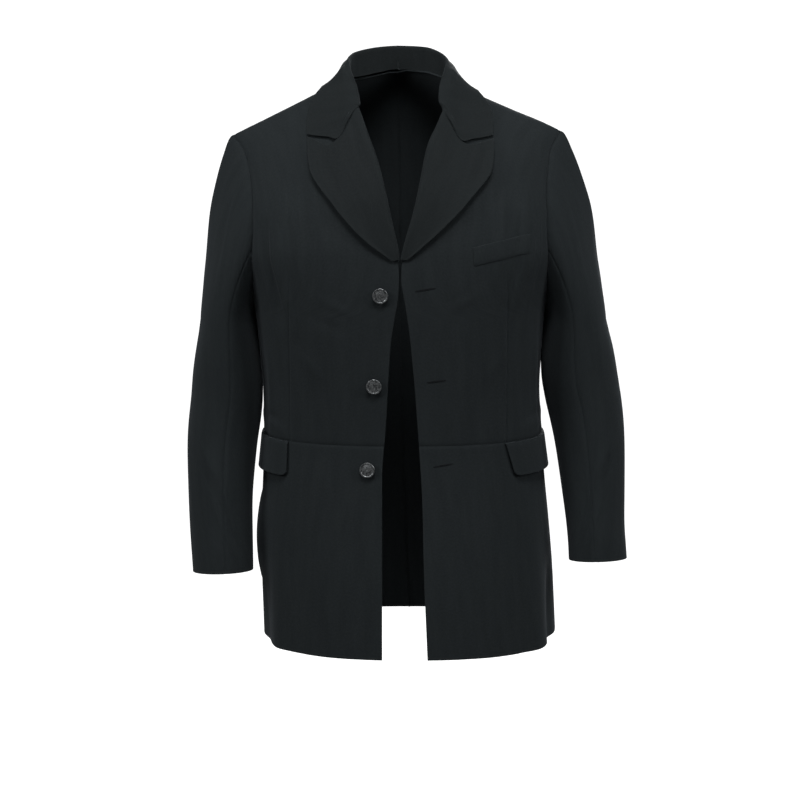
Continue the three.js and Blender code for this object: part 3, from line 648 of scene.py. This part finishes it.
# Backs: two long pieces of the same wool from the shoulders to the hem, joined down the middle
# and shaped in at the waist by that seam alone. They fall in deep soft folds below the waist.
NAPE = 30
BACK_NECK = table("drop across", (0, 80), (3, 75), (8, 62.5), (16, 42), (25, 21), (NAPE, 0))
NECK_DROPS = (2, 3.5, 6, 13, 24, 27)
BACK_DROPS = np.unique(np.concatenate([UPPER_DROPS, SKIRT_DROPS, NECK_DROPS]))
AT_NAPE = int(np.searchsorted(BACK_DROPS, NAPE))
BACK_COLUMNS = 64
for side, sign in SIDES:
    drops = BACK_DROPS[:, None]
    neck = np.where(drops < NAPE, read(BACK_NECK, "drop", "across", drops), 0)
    centre = 180 - turn_at(drops, body(drops, "centre") + neck)
    end = np.where(drops < ARMPIT, read(ARMHOLE, "drop", "back", drops), SIDE_SEAM)
    turns = sign * mix(centre, end, np.linspace(0, 1, BACK_COLUMNS))
    drops = np.broadcast_to(drops, turns.shape)
    grid = draw_back(skin(drops, turns), ("top", "last"))
    grid[AT_NAPE:] = draw_back(grid[AT_NAPE:], ("first",))
    grid, out = laid(sign, grid, skin_facing(drops, turns), True)
    back = cloth_shell(
        f"back_cloth_{side}", grid, body_wool, out,
        seams={"top": 1, "first": 1, "last": 1}, pucker=0.16,
    )
    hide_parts(f"back_{side}")

# Sleeves: a top sleeve and a narrower under sleeve of the same wool, sewn to a tube that bends a
# little at the elbow. The cap is eased into the armhole and stands up in a soft roll there.
SLEEVE = {
    "right": table(
        "up across ahead wide deep",
        (-300, -238.1, 2, 38.9, 79),
        (-345, -238.5, -2, 44, 73),
        (-402, -238.8, -6, 48.7, 67),
        (-470, -246.3, -15, 47.3, 61),
        (-545, -248.3, -31, 43.2, 55),
        (-600, -246.5, -42, 42, 51),
        (-645, -244, -53, 40.5, 48),
    ),
    "left": table(
        "up across ahead wide deep",
        (-300, 243.6, 2, 44.4, 79),
        (-340, 246.3, -2, 49.7, 73),
        (-375, 247.1, -4, 52.1, 69),
        (-400, 252, -6, 50.6, 66.5),
        (-458, 262, -14, 47.7, 61),
        (-545, 268.4, -30, 41.5, 55),
        (-597, 271.3, -43, 38.2, 51),
        (-629, 273.7, -52, 39.2, 48),
    ),
}
# round is in degrees from the outside of the arm over the front; the rest is as on the body
SLEEVE_DRAGS = table(
    "round down slant long wide high",
    (60, 95, 8, 150, 7, 1.3), (40, 60, 14, 110, 8, -1.0),
    (85, 150, -6, 160, 9, -1.2), (20, 170, 6, 220, 12, 1.2),
    (110, 340, 62, 90, 8, 1.8), (118, 366, 70, 100, 8, -1.6),
    (104, 394, 76, 90, 8, 1.5), (70, 352, -58, 90, 9, 1.2),
    (60, 385, -66, 80, 9, -1.0), (300, 330, 60, 90, 10, 1.8),
    (292, 360, 72, 100, 9, -1.6), (286, 392, 80, 100, 9, 1.6),
    (250, 352, -64, 90, 9, 1.3), (30, 460, 5, 190, 10, 0.9),
    (78, 500, -4, 180, 8, 1.1), (52, 560, 3, 110, 7, -0.8),
    (320, 130, -10, 190, 10, 1.3), (280, 180, 8, 170, 9, -1.2),
    (330, 500, 4, 170, 10, 0.9), (262, 520, -4, 150, 9, 1.0),
)
FOREARM_SEAM_DROP = 200
HINDARM_SEAM_DROP = 165
SOFTENED = 21
LEAN_REACH = 8
TILT_OVER = 120
CAP_BULGE = 64
CAP_ROWS = 64
ARM_ROWS = 81
CAP_ROUNDINGS = 18
ARM_MM_PER_DEGREE = 1.05
ARM_ROUND = 360 * ARM_MM_PER_DEGREE
sleeve_wool = wool("black_sleeve_wool", BLACK, BLOOM, 0.85, 0.12)


def armhole_ring(sign):
    """Down the front of the armhole and up its back: where it is, and how the cloth lies."""
    front = closer(ARM_DROPS, 5.5, 4)
    behind = front[-2:0:-1]
    drop = np.concatenate([front, behind])
    turn = sign * np.concatenate([
        read(ARMHOLE, "drop", "front", front), read(ARMHOLE, "drop", "back", behind),
    ])
    spots = skin(drop, turn)
    steps = np.linalg.norm(np.roll(spots, -1, 0) - spots, axis=-1)
    run = np.concatenate([[0], np.cumsum(steps)])
    bottom = len(front) - 1
    share = np.where(
        np.arange(len(spots)) <= bottom, run[:-1] / run[bottom],
        1 + (run[:-1] - run[bottom]) / (run[-1] - run[bottom]),
    )
    along = unit(np.roll(spots, -1, 0) - np.roll(spots, 1, 0))
    facing = skin_facing(drop, turn)
    away = unit(np.cross(along, facing) * -sign)
    return spots, facing, away, np.pi * share, front


def sleeve_section(side, sign, up, angle):
    rows = SLEEVE[side]

    def soft(column, level=up):
        near = [read(rows, "up", column, level + go) for go in (-SOFTENED, 0, SOFTENED)]
        return (near[0] + 2 * near[1] + near[2]) / 4

    outward = sign * soft("wide") * np.cos(angle)
    ahead = -soft("deep") * np.sin(angle)

    def lean(column):
        return (soft(column, up + LEAN_REACH) - soft(column, up - LEAN_REACH)) / (2 * LEAN_REACH)

    tilt = np.clip((rows["up"][0] - up) / TILT_OVER, 0, 1)
    return np.stack([
        soft("across") + outward,
        soft("ahead") + ahead,
        up - tilt * (outward * lean("across") + ahead * lean("ahead")),
    ], -1)


for side, sign in SIDES:
    spots, facing, away, angle, front = armhole_ring(sign)
    round_share = np.cos(angle)
    start = unit(np.stack([
        sign * (0.55 + 0.42 * round_share), -0.35 * np.sin(angle), -0.62 + 0.42 * round_share,
    ], -1))
    fold = np.arccos(np.clip((start * away).sum(-1), -1, 1))
    clear = SEAM_GAP + CLOTH / 2 * np.sin(fold)
    beside = (1 - np.cos(fold)) / 2 * (CLOTH + SEAM_GAP)
    origin = spots + away * clear[:, None] + facing * beside[:, None]
    top_up, cuff_up = SLEEVE[side]["up"][[0, -1]]
    target = sleeve_section(side, sign, np.full_like(angle, top_up), angle)
    span = np.linalg.norm(target - origin, axis=-1)
    out = start * np.minimum(CAP_BULGE, 0.5 * span)[:, None]
    fall = np.stack([np.zeros_like(span), np.zeros_like(span), -0.9 * span], -1)
    t = (np.linspace(0, 1, CAP_ROWS) ** 1.25)[:, None, None]
    cap = (
        origin * (1 + 2 * t) * (1 - t) ** 2 + target * t * t * (3 - 2 * t)
        + out * t * (1 - t) ** 2 + fall * t * t * (t - 1)
    )
    ups = np.linspace(top_up, cuff_up, ARM_ROWS + 1)[1:, None]
    ups = np.broadcast_to(ups, (ARM_ROWS, len(angle)))
    lower = sleeve_section(side, sign, ups, angle[None])
    tucked = spots - away * 0.2 - facing * 0.9
    tube = np.concatenate([tucked[None], cap[1:], lower])
    rounding = ease(3, 34, run_along(tube, 0)) * ease(230, 120, run_along(tube, 0))
    for _ in range(CAP_ROUNDINGS):
        beside = (np.roll(tube, 1, 1) + np.roll(tube, -1, 1)) / 2
        tube = mix(tube, beside, 0.5 * rounding[..., None])
    wrapped = np.concatenate([tube[:, -1:], tube, tube[:, :1]], 1)
    out_facing = grid_facing(wrapped)[:, 1:-1] * -sign
    down = run_along(tube, 0)
    around = np.degrees(angle)[None] * ARM_MM_PER_DEGREE
    drags = sum(
        drag_lines(SLEEVE_DRAGS, around + shift, down, ARM_MM_PER_DEGREE)
        for shift in (0, ARM_ROUND, -ARM_ROUND)
    )
    settle = ease(6, 30, down) * ease(8, 45, down[-1:] - down)
    tube = tube + out_facing * (drags * settle)[..., None]
    count = len(angle)
    forearm = int(np.searchsorted(front, FOREARM_SEAM_DROP))
    hindarm = int(np.searchsorted(front, HINDARM_SEAM_DROP))
    wide = np.arange(-hindarm, forearm + 1)
    narrow = np.arange(forearm, count - hindarm + 1)
    for name, picked, flat, area in (
        ("top_sleeve", wide, (0.25, 0.66), 0.1139), ("under_sleeve", narrow, (0.17, 0.52), 0.063),
    ):
        cols = picked % count
        grid = draw_back(tube[:, cols], ("first", "last"))
        grid, out_dir = laid(sign, grid, out_facing[:, cols], True)
        piece = cloth_shell(
            f"{name}_cloth_{side}", grid, sleeve_wool, facing=out_dir,
            seams={"top": 1, "first": 1, "last": 1}, pucker=0.3,
        )
        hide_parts(f"{name}_{side}")

# Lapels: the top of each front edge turned back on the chest in a soft rolled fold, its outer
# side the facing's wool. They lie on the foreparts and end under the notch.
LAPEL = {
    "right": table(
        "share across up",
        (0, -10, -207), (0.2, -50, -177), (0.45, -84, -140), (0.72, -118, -92), (1, -124, -48),
    ),
    "left": table(
        "share across up",
        (0, 10, -205), (0.2, 53, -168), (0.45, 88, -133), (0.72, 121, -90), (1, 125, -46),
    ),
}
GORGE = {"right": (-58, -12), "left": (60, -12)}
BREAK = 206
ACROSS = table(
    "share collar right left",
    (0.12, 0.36, 0.36, 0.36), (0.33, 1, 1, 1), (0.58, 0.62, 1.06, 0.83), (0.8, 0.3, 0.5, 0.42),
    (1, 0, 0, 0),
)
GORGE_DIP = {"right": 25.5, "left": 28.5}
LAPEL_CLOTH = 1.7
LAID_ON = 2.8
LAPEL_ROLL = 4.6
LAPEL_BELLY = 1.6
LAPEL_EDGE_OFF = 7.5
LAPEL_ROWS = 46
ROLL = table("past out", (0.7, 0), (1.9, 0.35), (3.0, 1.4), (3.1, 2.9), (2.1, 4.1), (0.2, 4.6))
# The lapels' and collar's facing wool is the body's black wool with its ribs turned across. Its
# dye and bloom are set darker than BLACK and BLOOM as painted shade, to hold back the extra light
# that the upward-facing lapels and collar catch.
facing_wool_with_painted_shade = wool(
    "black_facing_wool_painted_shade", (0.0046, 0.0064, 0.0071), (0.0100, 0.0128, 0.0136), 2.3, 0.1,
)


def smooth(rows, count):
    """More rows through a few, on a soft curve, spaced by how far apart the few lie."""
    steps = np.linalg.norm(np.diff(rows, axis=0), axis=-1).mean(1)
    knots = np.concatenate([[0], np.cumsum(np.maximum(steps, 0.3) ** 0.75)])
    h = np.diff(knots)[:, None, None]
    slope = np.diff(rows, axis=0) / h
    bend = np.concatenate([
        slope[:1], (slope[:-1] * h[1:] + slope[1:] * h[:-1]) / (h[1:] + h[:-1]), slope[-1:],
    ])
    at = np.linspace(0, knots[-1], count)
    i = np.clip(np.searchsorted(knots, at, side="left") - 1, 0, len(h) - 1)
    t = ((at - knots[i]) / h[i, 0, 0])[:, None, None]
    ends = rows[i] * (1 + 2 * t) * (1 - t) ** 2 + rows[i + 1] * t * t * (3 - 2 * t)
    return ends + h[i] * (bend[i] * t * (1 - t) ** 2 - bend[i + 1] * t * t * (1 - t))


for side, sign in SIDES:
    gorge_across, gorge_up = GORGE[side]
    top = drop_of(gorge_across, gorge_up) + 0.2
    share = np.linspace(0, 1, 70)
    drop = mix(BREAK - 1, top, share)
    across = front_edge_across(side, drop)
    turn = turn_at(drop, across)
    edge = skin(drop, turn)
    out = skin_facing(drop, turn)
    to_centre = unit(skin(drop, turn - sign * 2) - edge)
    full = ease(-0.15, 0.3, share)
    lines = []
    for k, (past, lift) in enumerate(zip(ROLL["past"], ROLL["out"])):
        reach = np.full_like(full, 0.1) if k == 0 else mix(0.9, past, full * (past > 1))
        lines.append(edge + to_centre * reach[:, None] + out * (lift * mix(0.6, 1, full))[:, None])
    outer_across = read(LAPEL[side], "share", "across", share)
    outer_up = read(LAPEL[side], "share", "up", share)
    for step, dip in zip(ACROSS["share"], ACROSS[side]):
        lift = mix(LAPEL_ROLL * mix(0.6, 1, full), LAID_ON, step ** 1.4)
        belly = LAPEL_BELLY * math.sin(math.pi * step) * share
        edge_off = LAPEL_EDGE_OFF * step ** 4 * np.sin(np.pi * share) ** 0.7
        lines.append(on_front(
            mix(across, outer_across, step),
            mix(edge[:, 2], outer_up, step) - GORGE_DIP[side] * dip * share ** 3
            - 1.2 * step * (share == 1),
            lift + belly + edge_off,
        ))
    grid = smooth(np.array(lines), LAPEL_ROWS).transpose(1, 0, 2)[::-1]
    sewn = 1 - ease(0.5, 0.62, np.linspace(0, 1, LAPEL_ROWS))
    if sign < 0:
        grid, sewn = grid[:, ::-1], sewn[::-1]
    lapel = cloth_shell(
        f"lapel_cloth_{side}", grid, facing_wool_with_painted_shade, thick=LAPEL_CLOTH, seams={"top": sewn},
        groove=0.15,
    )
    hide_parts(f"lapel_{side}")

# Collar: one piece of the facing's wool round the neck, standing up from the neck seam and rolled
# over to fall on the shoulders. Its front ends lie above the lapels and leave the notch open.
COLLAR = table(
    "station seam seam_drop fold ahead up edge edge_drop dip",
    (0, 58, 44, 55, -48, -11, 124, 49.5, 1),
    (1, 65, 30, 53, -38, -2, 124.5, 29, 0.7),
    (2, 73, 14, 56, -17, 16, 121, 12, 0.35),
    (3, 77.8, 0, 63.5, 6, 40, 104, 0, 0),
    (4, 70.5, 3.2, 65.5, 24, 53, 98, 6, 0),
    (5, 61, 8, 61, 42, 60, 81, 18, 0),
    (6, 41, 16, 46, 61, 64.5, 55, 33, 0),
    (7, 20, 24.5, 23, 74, 67.3, 26, 41, 0),
    (8, 0, 29, 0, 79, 68.2, 0, 44, 0),
)
COLLAR_LAID = 3.2
LEFT_HIGHER = 5
COLLAR_SHIFT = -3
STAND_FOOT = 1.0
FALL_BEND = 1.1
COLLAR_ROWS = 48


def length(v):
    return np.linalg.norm(v, axis=-1)[:, None]


def collar_lines(station, sign):
    """Lines along half the collar: its stand, the roll at the top and the fall to its edge."""
    row = {key: read(COLLAR, "station", key, station) for key in COLLAR}

    def place_at(across, drop):
        turn = turn_at(drop, np.where(station == 8, body(drop, "centre"), sign * across))
        return drop, np.where(station <= 3, turn, sign * 180 - turn)

    to_lapel = ease(1.2, 0, station) * (sign > 0)
    seam = place_at(row["seam"] + 2 * to_lapel, row["seam_drop"] + 4 * to_lapel)
    edge_at = place_at(row["edge"], row["edge_drop"])
    foot = skin(*seam)
    inwards = unit(skin(seam[0], seam[1] - sign * 2) - foot)
    higher = LEFT_HIGHER * (1 + sign * (1 - ease(3.5, 8, station))) / 2
    shifted = COLLAR_SHIFT * ease(0, 3, station)
    free = np.stack([sign * row["fold"] + shifted, row["ahead"], row["up"] + higher], -1)
    fold = mix(foot + inwards * 3.1, free, np.minimum(station / 0.6, 1)[:, None])
    tall = length(fold - foot)
    rise = (fold - foot) / tall
    reach = unit(raised(*edge_at, np.full_like(station, COLLAR_LAID)) - foot)
    outward = skin_facing(*seam) + reach * 0.7
    outward = unit(outward - rise * (outward * rise).sum(-1, keepdims=True))

    def at(past, out):
        return foot + rise * past + outward * out

    low = np.minimum(STAND_FOOT, 0.3 + (tall - 3.1) * 0.2)
    neck = tall - 1.2
    stand = [at(low, 0), at(mix(low, neck, 0.4), 0), at(mix(low, neck, 0.75), 0.1)]
    roll = [
        at(neck, 0.35), at(tall - 0.1, 1.4), at(tall, 2.9), at(tall - 1, 4.1), at(tall - 2.9, 4.6),
    ]
    lifted = roll[-1] - foot
    bend = mix(1.4, FALL_BEND, np.minimum(station / 2, 1))[:, None]
    fall = []
    for step, dip in zip(ACROSS["share"], ACROSS["collar"]):
        across = mix(row["seam"], row["edge"], step)
        drop = mix(row["seam_drop"], row["edge_drop"], step)
        lower = GORGE_DIP["right" if sign < 0 else "left"] * dip * row["dip"]
        curl = COLLAR_LAID + 1.6 * step ** 4 * ease(8.5, 4, station)
        dipped = on_front(sign * across, up_of(drop, sign * across) - lower, curl)
        spot = np.where((lower > 0)[:, None], dipped, raised(*place_at(across, drop), curl))
        fall.append(spot + lifted * (1 - step) ** bend)
    return np.array([*stand, *roll, *fall])


stations = np.linspace(0, 8, 81)
halves = [collar_lines(stations, -1), collar_lines(stations[:-1], 1)[:, ::-1]]
grid = smooth(np.concatenate(halves, 1), COLLAR_ROWS)
sewn = 1 - ease(0.66, 0.74, np.linspace(0, 1, COLLAR_ROWS))
collar = cloth_shell(
    "collar_cloth", grid, facing_wool_with_painted_shade, thick=LAPEL_CLOTH,
    seams={"top": 1, "first": sewn, "last": sewn}, groove=0.15,
)
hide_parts("collar")

# Pocket flaps: one on each hip, two layers of the wool bagged out and sewn in under the waist
# seam. They wrap round the side and stand a little off the skirt.
FLAP = {
    "right": {"first": -150, "first_low": -151, "last": -118, "high": 47},
    "left": {"first": 141, "first_low": 152, "last": 118, "high": 46},
}
FLAP_DROP = WAIST + 1.2
FLAP_OFF = 1.5
FLAP_STANDS = 3.5
flap_wool = wool("black_flap_wool", BLACK, BLOOM, 0.79, 0.12)
for side, sign in SIDES:
    flap = FLAP[side]
    share = np.linspace(0, 1, 18)[:, None]
    along = np.linspace(0, 1, 40)[None]
    corner = np.minimum(along, 1 - along) * 12
    rounded = 0.13 * (1 - np.sqrt(1 - (1 - np.minimum(corner, 1)) ** 2))
    drop = FLAP_DROP + share * flap["high"] * (1 - rounded)
    first = turn_at(drop, mix(flap["first"], flap["first_low"], share))
    turn = mix(first, flap["last"], along)
    lift = CLOTH + FLAP_OFF + FLAP_STANDS * share * (0.35 + 0.65 * np.sin(np.pi * along))
    grid = raised(drop, turn, lift)
    piece = cloth_shell(
        f"flap_cloth_{side}", grid if sign > 0 else grid[:, ::-1], flap_wool, seams={"top": 1},
    )
    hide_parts(f"flap_{side}")

# Breast pocket welt: a narrow slanting strip of the wool on the wearer's left chest, folded along
# its top and sewn down at the foot and both ends.
WELT_ACROSS = (96.5, 169)
WELT_UP = (-189, -174)
WELT_HIGH = 24
WELT_LIFT = 1.8
share = np.linspace(0, 1, 12)[:, None]
along = np.linspace(0, 1, 34)[None]
grid = on_front(
    mix(*WELT_ACROSS, along) + 1.5 * share,
    mix(*WELT_UP, along) - WELT_HIGH * share,
    np.broadcast_to(WELT_LIFT - 0.1 * share, (len(share), along.shape[1])),
)
welt = cloth_shell(
    "breast_welt_cloth", grid, flap_wool, thick=1.3, seams={"bottom": 1, "first": 1, "last": 1},
    groove=0.4,
)
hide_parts("breast_welt")

# Buttons: three cast pewter buttons with a raised rim and a worn, beaten middle, each turned over
# a shank that its thread holds to the wearer's right front.
BUTTONS = ((-26, -252), (-34.5, -374), (-43.5, -488))
BUTTON_HIGH = 5.28
BUTTON_COLUMNS = 64
DENT_DEEP = 0.14
RIM_INSIDE = 7.6
PROFILE = table(
    "radius high",
    (0, 0), (2.2, 0), (2.4, 0.3), (2.4, 1.9), (2.7, 2.15), (8.6, 2.15), (9.6, 2.5), (10.2, 3.0),
    (10.4, 3.6), (10.25, 4.2), (9.8, 4.62), (9.2, 4.72), (8.6, 4.55), (8.1, 4.2), (7.6, 4.1),
    (6.6, 4.35), (5.2, 4.75), (3.6, 5.05), (1.8, 5.22), (0, BUTTON_HIGH),
)
pewter, tree, shader = new_material("worn_pewter")
shader.inputs["Metallic"].default_value = 0.9
coords = place(tree, "ShaderNodeTexCoord")
dents = noise(tree, coords.outputs["Object"], 420.0, 3.0)
tone = place(tree, "ShaderNodeValToRGB", [(dents, 0)])
tone.color_ramp.elements[0].position = 0.36
tone.color_ramp.elements[0].color = (0.035, 0.038, 0.04, 1)
tone.color_ramp.elements[1].position = 0.66
tone.color_ramp.elements[1].color = (0.2, 0.21, 0.215, 1)
gloss = ranged(tree, dents, 0.35, 0.7, 0.55, 0.3)
bump = place(tree, "ShaderNodeBump", [(dents, "Height")], Strength=0.5, Distance=0.0002)
tree.links.new(tone.outputs[0], shader.inputs["Base Color"])
tree.links.new(gloss, shader.inputs["Roughness"])
tree.links.new(bump.outputs[0], shader.inputs["Normal"])
around = np.linspace(0, 2 * np.pi, BUTTON_COLUMNS, endpoint=False)
knots = np.arange(len(PROFILE["radius"]))
fine = np.linspace(0, knots[-1], 3 * knots[-1] + 1)
radius = np.interp(fine, knots, PROFILE["radius"])[1:-1, None]
turned = np.interp(fine, knots, PROFILE["high"])[1:-1, None]
beaten = np.where(turned > 4.0, np.clip((RIM_INSIDE - radius) / 2, 0, 1), 0)
rows, columns = len(radius), BUTTON_COLUMNS
here = np.arange(columns)
after = (here + 1) % columns
down = np.arange(rows - 1)[:, None] * columns
here_all, after_all = (down + here).ravel(), (down + after).ravel()
quads = np.stack([here_all, after_all, after_all + columns, here_all + columns], -1).tolist()
low, tip, last = rows * columns, rows * columns + 1, (rows - 1) * columns
for now, then in zip(here.tolist(), after.tolist()):
    quads.append([low, then, now])
    quads.append([tip, last + now, last + then])
for number, (across, up) in enumerate(BUTTONS, 1):
    dent = np.sin(radius * 1.9 + 2.2 * np.cos(around * 3 + number)) * np.cos(around * 5 + radius)
    high = turned + DENT_DEEP * beaten * dent
    ring = np.stack([radius * np.cos(around), radius * np.sin(around), high], -1)
    points = np.concatenate([ring.reshape(-1, 3), [[0, 0, 0], [0, 0, BUTTON_HIGH]]])
    drop = drop_of(across, up)
    turn = turn_at(drop, across)
    out = skin_facing(drop, turn)
    level = unit(np.cross([0, 0, 1], out))
    rise = np.cross(out, level)
    points = raised(drop, turn, CLOTH / 2 + SEAM_GAP) + points @ np.stack([level, rise, out])
    button = add_mesh(f"button_metal_{number}", points, quads, pewter)
    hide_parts(f"button_{number}")

# Buttonholes: three keyhole slits cut through the wearer's left front and worked over by hand
# with close loops of black silk twist.
HOLES = ((20.5, -246, 46.6, -242), (36, -369, 61, -366), (45, -484, 70, -480))
twist, tree, shader = new_material("black_silk_twist")
shader.inputs["Base Color"].default_value = (0.004, 0.005, 0.006, 1)
shader.inputs["Roughness"].default_value = 0.8
shader.inputs["Specular IOR Level"].default_value = 0.12
STITCHES = 60
ROUNDS = 120
STRANDS = 10
SLIT_HALF = 0.62
EYE = 0.55
TWIST_WIDE = 0.42
TWIST_HIGH = 0.36
for number, (x0, z0, x1, z1) in enumerate(HOLES, 1):
    around = np.linspace(0, 2 * np.pi, ROUNDS + 1)[:-1]
    long = math.hypot(x1 - x0, z1 - z0)
    eye = EYE * np.exp(-((around - np.pi) / 0.5) ** 2)
    across_slit = (SLIT_HALF + eye) * np.sin(around)
    along_slit = (long / 2) * np.cos(around)
    wave = 1 + 0.16 * np.cos(around * STITCHES)
    slope = np.array([x1 - x0, z1 - z0]) / long
    middle = np.array([(x0 + x1) / 2, (z0 + z1) / 2])
    rings = []
    for strand in range(STRANDS):
        angle = 2 * np.pi * strand / STRANDS
        grow = TWIST_WIDE * np.cos(angle) * wave
        lift = CLOTH / 2 + 0.18 + TWIST_HIGH * np.sin(angle) * wave
        long_way = along_slit + grow * np.cos(around)
        wide_way = across_slit * 1.1 + grow * np.sin(around) * 1.4
        x = middle[0] + long_way * slope[0] - wide_way * slope[1]
        z = middle[1] + long_way * slope[1] + wide_way * slope[0]
        rings.append(on_front(x, z, lift))
    here, strand = np.arange(ROUNDS), np.arange(STRANDS)[:, None]
    after, over = (here + 1) % ROUNDS, (strand + 1) % STRANDS
    corners = [(strand, here), (strand, after), (over, after), (over, here)]
    quads = np.stack([(row * ROUNDS + column).ravel() for row, column in corners], -1)
    add_mesh(f"buttonhole_{number}", np.array(rings).reshape(-1, 3), quads.tolist(), twist)

# The room: a pale floor and wall in one sweep, a soft light at each side, one above and one
# behind, and a camera a little above the shoulders that looks slightly down.
FLOOR_UP = -1460
FLOOR_HALF = 7000
SWEEP_STEPS = 60
SWEEP = table(
    "back up",
    (-7000, 0), (3800, 0), (4400, 90), (4800, 380), (5000, 850), (5060, 6500),
)
knots = np.arange(len(SWEEP["back"]))
fine = np.linspace(0, knots[-1], SWEEP_STEPS + 1)
sweep = [np.interp(fine, knots, SWEEP[key]) for key in ("back", "up")]
room = np.array([
    [(x, back, FLOOR_UP + up) for x in (-FLOOR_HALF, FLOOR_HALF)] for back, up in zip(*sweep)
])
paper, tree, shader = new_material("white_paper")
shader.inputs["Base Color"].default_value = (0.3, 0.3, 0.3, 1)
shader.inputs["Roughness"].default_value = 0.9
shader.inputs["Emission Strength"].default_value = 1.0
seen = place(tree, "ShaderNodeLightPath")
tree.links.new(seen.outputs["Is Camera Ray"], shader.inputs["Emission Color"])
mesh = bpy.data.meshes.new("floor")
mesh.from_pydata(
    (room.reshape(-1, 3) * MM).tolist(), [],
    [(2 * k, 2 * k + 1, 2 * k + 3, 2 * k + 2) for k in range(SWEEP_STEPS)],
)
mesh.polygons.foreach_set("use_smooth", np.ones(SWEEP_STEPS, bool))
mesh.materials.append(paper)
floor = new_object("floor", mesh)

world = bpy.data.worlds.new("soft_room")
bpy.context.scene.world = world
world.use_nodes = True
tree = world.node_tree
dim = tree.nodes["Background"]
dim.inputs[0].default_value = (1, 1, 1, 1)
dim.inputs[1].default_value = 0.06
bright = place(tree, "ShaderNodeBackground", Color=(1, 1, 1, 1), Strength=1.0)
seen = place(tree, "ShaderNodeLightPath")
both = place(
    tree, "ShaderNodeMixShader",
    [(seen.outputs["Is Camera Ray"], 0), (dim.outputs[0], 1), (bright.outputs[0], 2)],
)
tree.links.new(both.outputs[0], tree.nodes["World Output"].inputs["Surface"])


def soft_light(name, place_at, aim, size, power):
    lamp = bpy.data.lights.new(name, "AREA")
    lamp.shape = "RECTANGLE"
    lamp.size, lamp.size_y = size
    lamp.energy = power
    obj = new_object(name, lamp)
    obj.location = place_at
    obj.rotation_euler = (Vector(aim) - Vector(place_at)).to_track_quat("-Z", "Y").to_euler()


# where each light is, what it is aimed at, its size in metres and its power in watts
soft_light("light_from_the_left", (-2.75, -1.5, 1.3), (0, 0, -0.35), (0.9, 1.3), 66)
soft_light("light_from_the_right", (2.75, -1.5, 1.2), (0, 0, -0.35), (0.9, 1.3), 56)
soft_light("light_from_above", (0.0, -1.5, 2.3), (0, 0, -0.2), (1.5, 0.7), 80)
soft_light("light_from_behind", (0.5, 2.8, 1.3), (0, 0, -0.35), (1.6, 1.2), 90)

camera = bpy.data.cameras.new("camera")
camera.lens = 102.32
camera.sensor_width = 36
camera.shift_y = -0.0707
viewer = new_object("camera", camera)
viewer.location = (0, -3.115, 0.124)
viewer.rotation_euler = (math.radians(81.6), 0, 0)
bpy.context.scene.camera = viewer
bpy.context.scene.view_settings.view_transform = "Standard"
